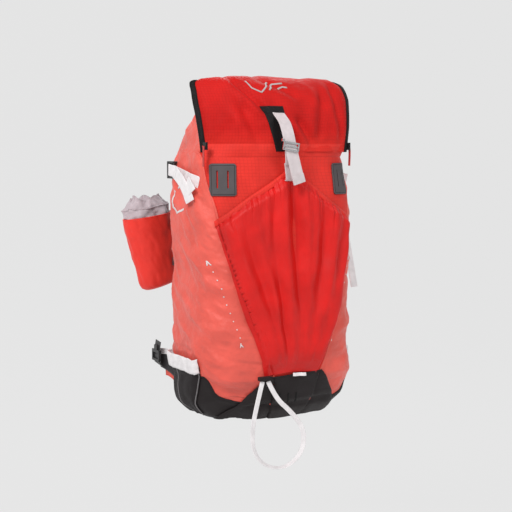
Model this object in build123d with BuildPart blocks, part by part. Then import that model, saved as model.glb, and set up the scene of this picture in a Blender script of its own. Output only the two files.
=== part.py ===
# Avalanche airbag backpack, about 30 litres, hung by its haul loop.
# Millimetres. +Z up, outer face towards -Y, wearer on the +Y side, wearer's right = +X.
# The origin is the inside top of the haul loop.
import math
import os

from build123d import *

os.makedirs("parts", exist_ok=True)

# ---- driving dimensions -----------------------------------------------------
crest_z = 20.0          # top of the hood
base_z = -540.0         # underside of the boot
crest_y = -92.0         # where the hood is highest
hinge_z = -108.0        # sewn fold between front panel and hood
hinge_y = -178.0
back_top_z = -100.0     # where the back panel starts to curve forward
front_y = -186.0        # deepest point of the front panel
body_half = 138.0       # half width of the body
hood_half = 128.0       # half width of the hood
wall = 3.0              # laminated fabric with its lining
gap = 0.4               # clearance between neighbouring layers
skin = wall + gap       # the body lies this far under the hood's outer face
webbing_t = 1.8         # webbing thickness

boot_z = -508.0         # top of the black boot
cover_front_y = -47.0   # hinged front edge of the airbag cover
cover_half = 84.0


def side_prism(o, half=200.0):
    """The bag's side profile grown by o, extruded across the width."""
    with BuildPart() as prism:
        with BuildSketch(Plane.YZ):
            with BuildLine():
                Polyline((0, back_top_z), (0, base_z + 18), (-14, base_z), (-132, base_z))
                Polyline((-132, base_z), (-166, base_z + 34), (-185, -440), (front_y, -300))
                Line((front_y, -300), (hinge_y, hinge_z))
                ThreePointArc((hinge_y, hinge_z), (-153, -18), (crest_y, crest_z))
                ThreePointArc((crest_y, crest_z), (-27, -15), (0, back_top_z))
            make_face()
            if o:
                offset(amount=o)
        extrude(amount=half, both=True)
    return prism.part


def plan_prism(o):
    """The bag's plan section grown by o: flat back, bowed front."""
    with BuildPart() as prism:
        with BuildSketch(Plane.XY):
            with BuildLine():
                Polyline((125, -142), (body_half, -104), (body_half, -30), (112, 0), (-112, 0))
                Polyline((-112, 0), (-body_half, -30), (-body_half, -104), (-125, -142))
                ThreePointArc((-125, -142), (0, front_y), (125, -142))
            make_face()
            if o:
                offset(amount=o)
        extrude(amount=700, both=True)
    return prism.part


def width_prism(half_widths, o=0.0):
    """Front outline given as (half width, z) pairs from bottom to top."""
    right = list(half_widths)
    left = [(-a, z) for a, z in reversed(right)]
    with BuildPart() as prism:
        with BuildSketch(Plane.XZ):
            with BuildLine():
                Polyline(*right, *left, close=True)
            make_face()
            if o:
                offset(amount=o)
        extrude(amount=300, both=True)
    return prism.part


BODY_OUTLINE = [(108, base_z), (128, base_z + 26), (137, -430), (body_half, -300), (body_half, -170),
                (134, -125), (124, -80), (110, -45), (98, 0), (96, 30)]
SEAM = [(48, boot_z), (68, -418), (103, -330), (123, -222), (128, hinge_z - 1)]
HOOD_OUTLINE = [(126, -170), (hood_half, -90), (hood_half, -40), (124, -5), (112, 30)]


def body(o):
    """Solid envelope of the body grown by o."""
    with BuildPart() as envelope:
        add(side_prism(o))
        add(plan_prism(o), mode=Mode.INTERSECT)
        add(width_prism(BODY_OUTLINE, o), mode=Mode.INTERSECT)
    return envelope.part


def block(x0, x1, y0, y1, z0, z1):
    """Axis-aligned box between two corners."""
    with BuildPart() as b:
        with Locations(((x0 + x1) / 2, (y0 + y1) / 2, (z0 + z1) / 2)):
            Box(x1 - x0, y1 - y0, z1 - z0)
    return b.part


def mirrored(half_widths, o=0.0):
    """Closed outline from (half width, z) pairs on one side, widened by o."""
    return [(a + o, z) for a, z in half_widths] + [(-a - o, z) for a, z in reversed(half_widths)]


def front_shape(points, y0=-400.0, y1=-90.0, corner=0.0):
    """Prism along Y with a polygon outline in X and Z."""
    with BuildPart() as prism:
        with BuildSketch(Plane.XZ.offset(-y1)) as outline:
            with BuildLine():
                Polyline(*points, close=True)
            make_face()
            if corner:
                fillet(outline.vertices(), radius=corner)
        extrude(amount=y1 - y0)
    return prism.part


def side_shape(points, x0, x1, corner=0.0):
    """Prism along X with a polygon outline in Y and Z."""
    with BuildPart() as prism:
        with BuildSketch(Plane.YZ.offset(x0)) as outline:
            with BuildLine():
                Polyline(*points, close=True)
            make_face()
            if corner:
                fillet(outline.vertices(), radius=corner)
        extrude(amount=x1 - x0)
    return prism.part


def cut_from(solid, *tools):
    """The solid with each tool taken out."""
    with BuildPart() as rest:
        add(solid)
        for tool in tools:
            add(tool, mode=Mode.SUBTRACT)
    return rest.part


def common(solid, *tools):
    """What the solid and every tool share."""
    with BuildPart() as shared:
        add(solid)
        for tool in tools:
            add(tool, mode=Mode.INTERSECT)
    return shared.part


def join(*solids):
    """Several touching solids as one."""
    with BuildPart() as whole:
        for solid in solids:
            add(solid)
    return whole.part


def save(name, solid):
    """Label a piece and write its STEP file."""
    with BuildPart() as piece:
        add(solid)
    piece.part.label = name
    export_step(piece.part, f"parts/{name}.step")


def save_pair(name, right_hand):
    """Write a right-hand piece and its mirror image as two solids of one node."""
    with BuildPart() as pair:
        add(right_hand)
        mirror(about=Plane.YZ)
    pair.part.label = name
    export_step(pair.part, f"parts/{name}.step")


# ---- bag shell: panels cut from one envelope --------------------------------
body_outer = body(-skin)
shell = cut_from(body_outer, body(-skin - wall))

seam_zone = front_shape(mirrored(SEAM), y1=-110.0)
seam_zone_wide = front_shape(mirrored(SEAM, gap), y1=-110.0 + gap)
above_boot = block(-200, 200, -300, 50, boot_z + gap, 100)
rear_zone = block(-110, 110, -12, 50, boot_z + gap, -86)
rear_zone_wide = block(-110 - gap, 110 + gap, -12, 50, boot_z, -86 + gap)
mouth = block(-90, 90, -400, cover_front_y + 2, hinge_z + 6, 100)
cover_pivot_z = 1.6     # the cover is hinged along its front edge
cover_reach = 41.5      # from the hinge to the rear edge


def cover_sector(half, reach, front):
    """Part of a drum about the cover's hinge, so that its rear edge clears the rim as it lifts."""
    with BuildPart() as drum:
        with BuildSketch(Plane.YZ.offset(-half)):
            with Locations((cover_front_y, cover_pivot_z)):
                Circle(reach)
        extrude(amount=2 * half)
        add(block(-half, half, front, 50, -60, 60), mode=Mode.INTERSECT)
    return drum.part


cover_hole = cover_sector(cover_half + 0.6, cover_reach + 0.7, cover_front_y - 0.6)
front_lip = block(-200, 200, -400, -90, hinge_z - 1, hinge_z + 6)
cable_hole = block(78, 98, -30, 20, -152, -122)

save("front_panel", common(shell, seam_zone, above_boot))
save("base_boot", common(shell, block(-200, 200, -300, 50, base_z - 20, boot_z)))
save("back_sheet", cut_from(common(shell, rear_zone), cable_hole))
sides = cut_from(common(shell, above_boot), seam_zone_wide, rear_zone_wide, mouth, cover_hole, front_lip)
save("side_panel_right", common(sides, block(0.2, 200, -400, 50, -700, 100)))
save("side_panel_left", common(sides, block(-200, -0.2, -400, 50, -700, 100)))

# Airbag compartment: cover, folded airbag, and the tray that keeps it off the load.
save("airbag_cover", common(shell, cover_sector(cover_half, cover_reach, cover_front_y)))
inside = body(-skin - wall - 1.2)
save("folded_airbag", common(inside, block(-74, 74, -45, -18, -92, 60)))
tray = join(block(-78, 78, -49.5, -47.9, -100, -14), block(-78, 78, -49.5, -9.5, -100, -98.4))
feed_hole = block(31, 47, -38, -22, -102, -96)
save("airbag_tray", cut_from(tray, feed_hole))

# ---- hood -------------------------------------------------------------------
hood_radius = 258.0     # plan radius of the hood's front


def hood_round(o):
    """Upright cylinder whose front is the hood's bow."""
    with BuildPart() as drum:
        with BuildSketch(Plane.XY.offset(-200)):
            with Locations((0, front_y + hood_radius)):
                Circle(hood_radius + o)
        extrude(amount=300)
    return drum.part


with BuildPart() as hood_plan:
    with BuildSketch(Plane.XY.offset(hinge_z)):
        with BuildLine():
            Polyline((128, -260), (128, -100), (120, -86), (92, -49.5), (-92, -49.5), (-120, -86),
                     (-128, -100), (-128, -260), close=True)
        make_face()
    extrude(amount=200)

hood_inner = common(side_prism(-wall), hood_round(-wall))
hood_block = common(side_prism(0), hood_round(0), hood_plan.part, width_prism(HOOD_OUTLINE))
save("hood", cut_from(hood_block, hood_inner))

# Zip trim along both sides of the hood: a narrow band standing just proud of it.
trim_band = cut_from(common(side_prism(3.4), hood_round(3.4), hood_plan.part, width_prism(HOOD_OUTLINE)),
                     common(side_prism(gap), hood_round(gap)))
save_pair("hood_zip_trims", common(trim_band, block(116, 128, -260, -88, hinge_z, 60)))

patch_zone = front_shape([(-14, -24), (14, -24), (14, -107), (-14, -107)], y1=-100)
save("hood_patch", common(trim_band, patch_zone))

# ---- closure strap: hangs from the hood patch, hooked down over the hinge ---
strap_half = 11.0
strap_path = [(-170.4, -36.4), (-184, -48), (-199, -74), (-201, -94), (-200, -154)]


def ribbon(points, x0, x1, thickness, radii=6.0):
    """Webbing: a constant-thickness band along a (Y, Z) path, as wide as x0 to x1."""
    with BuildPart() as band:
        with BuildSketch(Plane.YZ.offset(x0)):
            with BuildLine() as run:
                FilletPolyline(*points, radius=radii)
            trace(run.line, line_width=thickness)
        extrude(amount=x1 - x0)
    return band.part


save("closure_strap", ribbon(strap_path, -strap_half, strap_half, webbing_t))
buckle_y = -202.3       # back face of the buckle, just off the strap
with BuildPart() as hook_buckle:
    with BuildSketch(Plane.XZ.offset(-buckle_y)):
        with Locations((0, -98)):
            RectangleRounded(30, 14, 1.5)
            Rectangle(23, 4.5, mode=Mode.SUBTRACT)
    extrude(amount=2.4)
    with BuildSketch(Plane.YZ.offset(-14)):
        with Locations((buckle_y - 2.9, -90.5)):
            Circle(2.4)
    extrude(amount=28)
    with BuildSketch(Plane.YZ.offset(-17.5)):
        with Locations((buckle_y - 2.9, -90.5)):
            Circle(3.2)
    extrude(amount=3.5)
save("hook_buckle", hook_buckle.part)

anchor_path = [(-191.2, -178), (-191.2, -150), (-190.4, -122)]
save("closure_anchor", ribbon(anchor_path, -9, 9, webbing_t, radii=20))

# ---- front pocket, patches and label ----------------------------------------
pocket_outline = [(46, -462), (66, -418), (101, -330), (120, -224), (0, -142)]
outer_points = mirrored(pocket_outline[:4]) + []
outer_points.insert(4, (0, -142))
inner_half = [(a - wall, z) for a, z in pocket_outline[:4]]
inner_points = mirrored([(inner_half[0][0], -462 + wall)] + inner_half[1:])
inner_points.insert(4, (0, -120))
layer_in = body(-skin + gap)
layer_low = body(-skin + 3.2)
layer_pocket_in = body(-skin + 9.0)
layer_pocket = body(-skin + 12.0)
pocket_skin = common(layer_pocket, front_shape(outer_points))
pocket_space = common(layer_pocket_in, front_shape(inner_points))
save("front_pocket", cut_from(pocket_skin, pocket_space, layer_in))

low_layer = cut_from(layer_low, layer_in)
lash_outline = [(86, -177), (121, -177), (121, -125), (86, -125)]
lash_slots = [front_shape([(x - 1.2, -164), (x + 1.2, -164), (x + 1.2, -137), (x - 1.2, -137)])
              for x in (98, 111.5)]
save_pair("lash_patches", cut_from(common(low_layer, front_shape(lash_outline)), *lash_slots))

patch_outline = [(-72, -524), (72, -524), (62, -490), (47, -463), (-47, -463), (-62, -490)]
patch_slits = [front_shape([(x - 1.5, -508), (x + 1.5, -508), (x + 1.5, -494), (x - 1.5, -494)])
               for x in (-12, 0, 12)]
save("base_patch", cut_from(common(low_layer, front_shape(patch_outline)), *patch_slits))

# ---- side pockets with white elastic edges, compression straps --------------
side_layer = cut_from(body(-skin + 9.0), body(-skin + 6.5), layer_in)
side_rim = cut_from(body(-skin + 9.0), layer_in)
white_layer = cut_from(body(-skin + 11.4), body(-skin + 9.4))
strap_layer = cut_from(body(-skin + gap + webbing_t), layer_in)

def right_side(y0, y1, z0, z1):
    """Box around part of the wearer's right side."""
    return block(90, 200, y0, y1, z0, z1)


pocket_right = join(common(side_layer, right_side(-124, -16, -524, -446)),
                    common(side_rim, right_side(-124, -16, -524, -520)),
                    common(side_rim, right_side(-124, -120, -524, -446)),
                    common(side_rim, right_side(-20, -16, -524, -446)))
save("side_pocket_right", pocket_right)
with BuildPart() as pocket_left:
    add(pocket_right)
    mirror(about=Plane.YZ, mode=Mode.REPLACE)
save("side_pocket_left", pocket_left.part)
save_pair("side_pocket_elastics", common(white_layer, right_side(-122, -18, -468, -447)))
save_pair("compression_straps", common(strap_layer, right_side(-118, -28, -154, -134)))

lock_x = 138.6          # just outside the compression strap
with BuildPart() as lock:
    with BuildSketch(Plane.YZ.offset(lock_x)):
        with Locations((-52, -144)):
            RectangleRounded(30, 27, 3)
        with Locations((-60, -144), (-45, -144)):
            Rectangle(5, 21, mode=Mode.SUBTRACT)
    extrude(amount=4.5)
save_pair("ladder_locks", lock.part)
tail_x = lock_x + 3
with BuildPart() as tails:
    add(side_shape([(-48, -159), (-66, -159), (-94, -322), (-76, -322)], tail_x, tail_x + webbing_t))
    add(side_shape([(-66, -158), (-84, -158), (-118, -184), (-98, -192)], -tail_x - webbing_t, -tail_x))
save("compression_tails", tails.part)

# ---- frame and inflator inside the back -------------------------------------
save("frame_sheet", block(-92, 92, -9.2, -7.4, -470, -104))
save("frame_stays", join(block(-50, -38, -12.6, -9.4, -460, -112), block(38, 50, -12.6, -9.4, -460, -182)))

pin_y = -30.0
pin_z = -152.0
housing = block(8, 70, -44, -16, -165, -122)
with BuildPart() as inflator:
    add(housing)
    with BuildSketch(Plane.YZ.offset(20)):
        with Locations((pin_y, pin_z)):
            Circle(5)
    extrude(amount=42, mode=Mode.SUBTRACT)
    with BuildSketch(Plane.XY.offset(-122)):
        with Locations((39, pin_y)):
            Circle(7)
    extrude(amount=22)
save("inflator_housing", inflator.part)
with BuildPart() as firing_pin:
    with BuildSketch(Plane.YZ.offset(22)):
        with Locations((pin_y, pin_z)):
            Circle(4.2)
    extrude(amount=24)
save("firing_pin", firing_pin.part)
for name, x, radius, length in (("gas_cartridge_large", 24, 15.5, 150), ("gas_cartridge_small", 56, 13.5, 122)):
    with BuildPart() as cartridge:
        with BuildSketch(Plane.YZ.offset(x)):
            with BuildLine():
                top = -165.2
                Polyline((pin_y, top), (pin_y + 6, top), (pin_y + 6, top - 8), (pin_y + radius, top - 20),
                         (pin_y + radius, top - length), (pin_y + radius - 4, top - length - 5),
                         (pin_y, top - length - 5), close=True)
            make_face()
        revolve(axis=Axis((x, pin_y, 0), (0, 0, 1)))
    save(name, cartridge.part)
with BuildPart() as feed:
    with BuildSketch(Plane.XY.offset(-99.8)):
        with Locations((39, pin_y)):
            Circle(7)
            Circle(5, mode=Mode.SUBTRACT)
    extrude(amount=7)
save("airbag_feed", feed.part)

# ---- back pads, lumbar pad and hip belt -------------------------------------
save("back_pads", join(block(-96, -14, -3, 8, -425, -190), block(14, 96, -3, 8, -425, -190)))
save("lumbar_pad", block(-64, 64, -3, 11, -522, -440))
wing_path = [(73, 6), (112, 9), (135, 36)]
for side, sign in (("left", -1), ("right", 1)):
    with BuildPart() as wing:
        with BuildSketch(Plane.XY.offset(-518)):
            with BuildLine() as run:
                FilletPolyline(*[(sign * x, y) for x, y in wing_path], radius=18)
            trace(run.line, line_width=11)
        extrude(amount=70)
    save(f"hip_wing_{side}", wing.part)
    x0, x1 = sorted((sign * 143.2, sign * 145.2))
    save(f"hip_webbing_{side}", block(x0, x1, 12, 37, -500, -418))
    x0, x1 = sorted((sign * 145.6, sign * 152.6))
    save(f"hip_buckle_{side}", block(x0, x1, 8, 41, -458, -428))

# ---- shoulder straps --------------------------------------------------------
strap_line = [(3.5, -162), (3.5, -106), (30, -66), (62, -100), (68, -190), (60, -270), (40, -345)]
straps = {}
for side, sign in (("left", -1), ("right", 1)):
    x0, x1 = sorted((sign * 28, sign * 82))
    straps[side] = ribbon(strap_line, x0, x1, 10, radii=[14, 16, 16, 60, 60])
    save(f"shoulder_strap_{side}", straps[side])

save_pair("strap_adjusters", block(45, 65, 33, 41, -372, -352))
save_pair("lower_webbings", ribbon([(37, -373), (22, -400), (8, -432)], 46, 64, webbing_t, radii=20))
rail = join(block(31, 36, 75, 79, -250, -140), block(31, 36, 60, 79, -254, -248),
            block(31, 36, 60, 79, -142, -136))
save_pair("sternum_rails", cut_from(rail, straps["right"]))
save_pair("sternum_sliders", cut_from(block(27, 40, 74, 84, -202, -188),
                                      block(30.4, 36.6, 70, 79.6, -210, -180)))
save_pair("sternum_webbing", block(17, 38, 84.2, 86, -202, -188))
save("sternum_buckle", block(-17, 17, 80.6, 89.6, -208, -182))

# ---- trigger: T-handle on the wearer's right strap, cable to the inflator ---
pull_x = 56.0
pull_y = 84.0
with BuildPart() as handle:
    with BuildSketch(Plane.XZ.offset(-(pull_y - 6))):
        with Locations((pull_x, -262)):
            RectangleRounded(14, 52, 4)
        with Locations((pull_x, -284)):
            RectangleRounded(30, 14, 5)
    extrude(amount=-12)
    with BuildSketch(Plane.XY.offset(-238)):
        with Locations((pull_x, pull_y)):
            Circle(1.0)
    extrude(amount=70)
save("trigger_handle", handle.part)
with BuildPart() as sleeve:
    with BuildSketch(Plane.XY.offset(-228)):
        with Locations((pull_x, pull_y)):
            RectangleRounded(16, 10, 3)
            Circle(1.6, mode=Mode.SUBTRACT)
    extrude(amount=66)
    add(block(pull_x - 6, pull_x + 6, 70, pull_y - 4, -226, -170))
save("trigger_guide", cut_from(sleeve.part, straps["right"]))

cable_points = [(pull_x, pull_y, -161.8), (58, 81, -112), (86, 54, -56), (92, 18, -72), (90, 3, -122),
                (84, -22, -150), (70.6, -29.8, -152)]


def smooth_radii(points, share=0.45):
    """Largest tangent radius that each corner's two runs allow."""
    corners = [Vector(*p) for p in points]
    radii = []
    for a, b, c in zip(corners, corners[1:], corners[2:]):
        turn = math.radians((b - a).get_angle(c - b))
        radii.append(share * min((b - a).length, (c - b).length) / math.tan(turn / 2))
    return radii


def tube(points, diameter, first_direction):
    """Round tube along straight runs joined by tangent arcs."""
    radii = smooth_radii(points)
    with BuildPart() as pipe:
        with BuildLine() as run:
            FilletPolyline(*points, radius=radii)
        with BuildSketch(Plane(origin=points[0], z_dir=first_direction)):
            Circle(diameter / 2)
        sweep(path=run.line)
    length = sum(edge.length for edge in run.line.edges())
    print("radii", [round(r) for r in radii], "length", round(length, 1),
          "volume share", round(pipe.part.volume / (length * math.pi * diameter ** 2 / 4), 4))
    return pipe.part


start = Vector(*cable_points[1]) - Vector(*cable_points[0])
save("trigger_cable", tube(cable_points, 5.0, start))

# ---- haul loop at the top of the back ---------------------------------------
with BuildPart() as haul_loop:
    with BuildSketch(Plane.XZ.offset(-11.5)):
        with BuildLine() as arch:
            FilletPolyline((-20, -130), (-20, -30), (-11, 1.2), (11, 1.2), (20, -30), (20, -130), radius=8)
        trace(arch.line, line_width=2.4)
    extrude(amount=12)
    add(block(-24, -14, -3, 4, -140, -116))
    add(block(14, 24, -3, 4, -140, -116))
save("haul_loop", haul_loop.part)

# ---- bottle pouch on the wearer's left strap --------------------------------
lean = math.radians(9)
pouch_plane = Plane(origin=(-106, 108, -345), x_dir=(math.cos(lean), 0, math.sin(lean)),
                    z_dir=(-math.sin(lean), 0, math.cos(lean)))


def oval_prism(low, height, half_width, half_depth):
    """Upright oval prism in the pouch's own frame."""
    with BuildPart() as prism:
        with BuildSketch(pouch_plane.offset(low)):
            Ellipse(half_width, half_depth)
        extrude(amount=height)
    return prism.part


pouch_outer = oval_prism(0, 128, 43, 28)
save("bottle_pouch", cut_from(pouch_outer, oval_prism(3, 130, 40.5, 25.5)))
save("pouch_collar", cut_from(oval_prism(128.3, 30, 42, 27), oval_prism(127, 33, 39.5, 24.5)))
clip = join(block(-90, -64, 72, 92, -246, -232), block(-90, -64, 66, 92, -306, -292))
save("pouch_straps", cut_from(clip, pouch_outer, straps["left"]))

# ---- ice-axe loop hanging from the front of the base ------------------------
loop_y = -184.0
loop_points = [(-49.5, -471), (-58, -502), (-68, -545), (-66, -585), (-42, -611), (-6, -616),
               (24, -594), (27, -556), (2, -524), (-26, -500), (-39.5, -471)]
save("axe_loop_tab", block(-57, -32, -192, loop_y + 5.5, -471, -462.6))
axe_points = [(x, loop_y, z) for x, z in loop_points]
save("axe_loop", tube(axe_points, 8.0, Vector(*axe_points[1]) - Vector(*axe_points[0])))

# ---- zip sliders and their pulls, one at the foot of each hood trim ---------
save_pair("zip_sliders", block(128.2, 131.6, -150, -139, -104, -92))
save("zip_pull_right", block(132.0, 133.4, -147.5, -141.5, -130, -98))
save("zip_pull_left", block(-133.4, -132.0, -147.5, -141.5, -130, -98))
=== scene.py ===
import math

import bmesh
import bpy
import numpy as np
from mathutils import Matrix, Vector, noise
from mathutils.bvhtree import BVHTree


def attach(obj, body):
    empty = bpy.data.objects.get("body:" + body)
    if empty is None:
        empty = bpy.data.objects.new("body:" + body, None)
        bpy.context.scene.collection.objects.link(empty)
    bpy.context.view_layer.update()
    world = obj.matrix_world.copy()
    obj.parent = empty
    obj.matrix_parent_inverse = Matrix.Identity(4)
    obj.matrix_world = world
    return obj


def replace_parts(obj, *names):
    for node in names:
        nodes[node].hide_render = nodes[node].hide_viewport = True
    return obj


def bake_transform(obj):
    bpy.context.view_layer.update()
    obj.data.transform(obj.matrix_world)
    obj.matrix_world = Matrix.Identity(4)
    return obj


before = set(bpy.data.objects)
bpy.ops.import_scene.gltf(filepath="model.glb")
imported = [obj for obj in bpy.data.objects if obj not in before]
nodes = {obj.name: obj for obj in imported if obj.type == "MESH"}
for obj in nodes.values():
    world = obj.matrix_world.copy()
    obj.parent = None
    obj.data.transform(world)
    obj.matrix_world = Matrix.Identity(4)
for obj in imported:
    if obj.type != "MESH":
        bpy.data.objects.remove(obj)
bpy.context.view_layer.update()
SIDES = (("left", -1), ("right", 1))
X_AXIS, Y_AXIS, Z_AXIS = (1, 0, 0), (0, 1, 0), (0, 0, 1)


def link_object(name, data):
    """An object of that data, in the scene."""
    obj = bpy.data.objects.new(name, data)
    bpy.context.scene.collection.objects.link(obj)
    return obj


# ---- camera -------------------------------------------------------------------
def add_camera(azimuth, elevation, distance, target, lens):
    a, e = math.radians(azimuth), math.radians(elevation)
    back = Vector((math.sin(a) * math.cos(e), -math.cos(a) * math.cos(e), math.sin(e)))
    data = bpy.data.cameras.new("camera")
    data.lens = lens
    data.sensor_width = 36
    camera = link_object("camera", data)
    camera.location = Vector(target) + back * distance
    camera.rotation_euler = (-back).to_track_quat("-Z", "Y").to_euler()
    bpy.context.scene.camera = camera


add_camera(-27.0, 5.0, 2.003, (-0.0143, -0.092, -0.279), 85.0)


# ---- materials ----------------------------------------------------------------
class Nodes:
    """A small wrapper for building a material's node tree."""

    def __init__(self, name):
        self.material = bpy.data.materials.new(name)
        self.material.use_nodes = True
        self.tree = self.material.node_tree
        self.shader = self.tree.nodes["Principled BSDF"]

    def add(self, kind, **values):
        node = self.tree.nodes.new(kind)
        for key, value in values.items():
            if key.startswith("_"):
                setattr(node, key[1:], value)
            else:
                node.inputs[key].default_value = value
        return node

    def link(self, a, b):
        self.tree.links.new(a, b)

    def constants(self, values):
        """Whole-surface values, on the shader's own sockets."""
        for socket, value in values.items():
            self.shader.inputs[socket].default_value = value

    def split(self, vector):
        node = self.add("ShaderNodeSeparateXYZ")
        self.link(vector, node.inputs[0])
        return node.outputs

    def place(self):
        """Where a point lies on its object, in metres."""
        return self.add("ShaderNodeTexCoord").outputs["Object"]

    def into(self, **outputs):
        """Links outputs to the shader's sockets; an underscore stands for the space in a socket's name."""
        for socket, output in outputs.items():
            self.link(output, self.shader.inputs[socket.replace("_", " ")])

    def math(self, operation, a, b=None):
        node = self.add("ShaderNodeMath", _operation=operation)
        for i, value in enumerate((a, b)):
            if isinstance(value, (int, float)):
                node.inputs[i].default_value = value
            elif value is not None:
                self.link(value, node.inputs[i])
        return node.outputs[0]

    def times(self, a, b):
        return self.math("MULTIPLY", a, b)

    def wave(self, along, pitch):
        """A sine that repeats at that pitch in metres."""
        return self.math("SINE", self.times(along, 2 * math.pi / pitch))

    def mix(self, share, a, b, blend="MIX"):
        """Colour between a and b, each an output or a plain colour."""
        node = self.add("ShaderNodeMix", _data_type="RGBA", _blend_type=blend)
        self.link(share, node.inputs["Factor"])
        for i, value in ((6, a), (7, b)):
            if isinstance(value, tuple):
                node.inputs[i].default_value = (*value, 1)
            else:
                self.link(value, node.inputs[i])
        return node.outputs[2]

    def ramp(self, factor, stops):
        node = self.add("ShaderNodeValToRGB")
        self.link(factor, node.inputs[0])
        while len(node.color_ramp.elements) < len(stops):
            node.color_ramp.elements.new(0.5)
        for element, (position, colour) in zip(node.color_ramp.elements, stops):
            element.position = position
            element.color = (*colour, 1)
        return node.outputs[0]

    def noise(self, vector, scale, detail=3.0, rough=0.5):
        node = self.add("ShaderNodeTexNoise", Scale=scale, Detail=detail, Roughness=rough)
        self.link(vector, node.inputs["Vector"])
        return node.outputs["Fac"]

    def bump(self, height, strength, distance, below=None):
        node = self.add("ShaderNodeBump", Strength=strength, Distance=distance)
        self.link(height, node.inputs["Height"])
        if below is not None:
            self.link(below, node.inputs["Normal"])
        return node.outputs[0]

    def grid_lines(self, uv, pitch, width):
        """1 on thin lines of a square grid of that pitch in metres, 0 between them."""
        parts = self.split(uv)
        lines = []
        for axis in (0, 1):
            phase = self.math("FRACT", self.math("DIVIDE", parts[axis], pitch))
            near = self.math("ABSOLUTE", self.math("SUBTRACT", phase, 0.5))
            lines.append(self.math("GREATER_THAN", near, 0.5 - width / pitch / 2))
        return self.math("MAXIMUM", lines[0], lines[1])

    def weave(self, uv, pitch):
        """Crossed threads of that pitch in metres, as a height from 0 to 1."""
        parts = self.split(uv)
        crossed = self.times(self.wave(parts[0], pitch), self.wave(parts[1], pitch))
        return self.math("ADD", self.times(crossed, 0.5), 0.5)


# Distances between repeats in a cloth's surface, in metres.
RIPSTOP, RIPSTOP_LINE = 0.0052, 0.0007
RIB_PITCH, THREAD_PITCH = 0.0016, 0.0009


def shade(colour, factor):
    return tuple(min(1.0, c * factor) for c in colour)


def fabric(name, colour, rough=0.55, pitch=0.0009, grid=None, sheen=0.25, coat=0.0, wear=0.12,
           weave_depth=0.00012, crinkle=0.0, specular=0.2, fade=None):
    """Woven cloth: thread weave, optional ripstop grid, slow colour variation and wear."""
    n = Nodes(name)
    uv = n.add("ShaderNodeUVMap").outputs[0]
    place = n.place()
    cloud = n.noise(place, 26.0, 4.0)
    base = n.ramp(cloud, [(0.3, shade(colour, 1 - wear)), (0.7, shade(colour, 1 + wear))])
    # fade blends from the other colour below a band of heights to the base colour above it; the hood uses it for
    # painted shade that deepens above the fold.
    if fade:
        low, high, other = fade
        share = n.math("DIVIDE", n.math("SUBTRACT", n.split(place)[2], low), high - low)
        base = n.mix(n.math("MINIMUM", n.math("MAXIMUM", share, 0.0), 1.0), other, base)
    normal = n.bump(n.weave(uv, pitch), 0.5, weave_depth)
    if grid:
        lines = n.grid_lines(uv, grid, RIPSTOP_LINE)
        base = n.mix(n.times(lines, 0.20), base, (0.42, 0.30, 0.30), "MULTIPLY")
        normal = n.bump(lines, 0.6, 0.00025, normal)
    if crinkle:
        normal = n.bump(n.noise(place, 38.0, 4.0, 0.55), 0.9, crinkle, normal)
    low, high = max(0.0, rough - 0.08), min(1.0, rough + 0.08)
    n.into(Base_Color=base, Normal=normal,
           Roughness=n.ramp(n.noise(place, 700.0, 2.0), [(0.3, (low,) * 3), (0.7, (high,) * 3)]))
    n.constants({"Sheen Weight": sheen, "Sheen Roughness": 0.5, "Coat Weight": coat, "Coat Roughness": 0.35,
                 "Specular IOR Level": specular})
    return n.material


def webbing(name, colour):
    """Woven tape: ribs across it, threads along it, slow colour variation and painted shade, darker in the grooves
    between the ribs.
    """
    n = Nodes(name)
    uv = n.add("ShaderNodeUVMap").outputs[0]
    across, along = n.split(uv)[:2]
    height = n.math("ADD", n.times(n.wave(along, RIB_PITCH), 0.35), n.times(n.wave(across, THREAD_PITCH), 0.15))
    cloud = n.noise(n.place(), 90.0, 4.0)
    # The rib height also goes into the colour: painted shade, darker in the grooves between the ribs.
    base = n.ramp(n.math("ADD", n.times(height, 0.25), cloud),
                  [(0.25, shade(colour, 0.84)), (0.75, shade(colour, 1.05))])
    n.into(Base_Color=base, Normal=n.bump(height, 0.6, 0.0003))
    n.constants({"Roughness": 0.6, "Sheen Weight": 0.15})
    return n.material


def hard(name, colour, rough, metal=0.0, grain=220.0, depth=0.00008, stretch=(1, 1, 1)):
    """Moulded plastic, rubber or metal with a fine surface grain."""
    wear = 0.1
    n = Nodes(name)
    place = n.place()
    mapping = n.add("ShaderNodeMapping", Scale=stretch)
    n.link(place, mapping.inputs[0])
    fine = n.noise(mapping.outputs[0], grain, 3.0)
    cloud = n.noise(place, 40.0, 3.0)
    n.into(Base_Color=n.ramp(cloud, [(0.3, shade(colour, 1 - wear)), (0.7, shade(colour, 1 + wear))]),
           Roughness=n.ramp(fine, [(0.25, (max(0, rough - 0.1),) * 3), (0.75, (min(1, rough + 0.1),) * 3)]),
           Normal=n.bump(fine, 0.5, depth))
    n.constants({"Metallic": metal})
    return n.material


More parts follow.
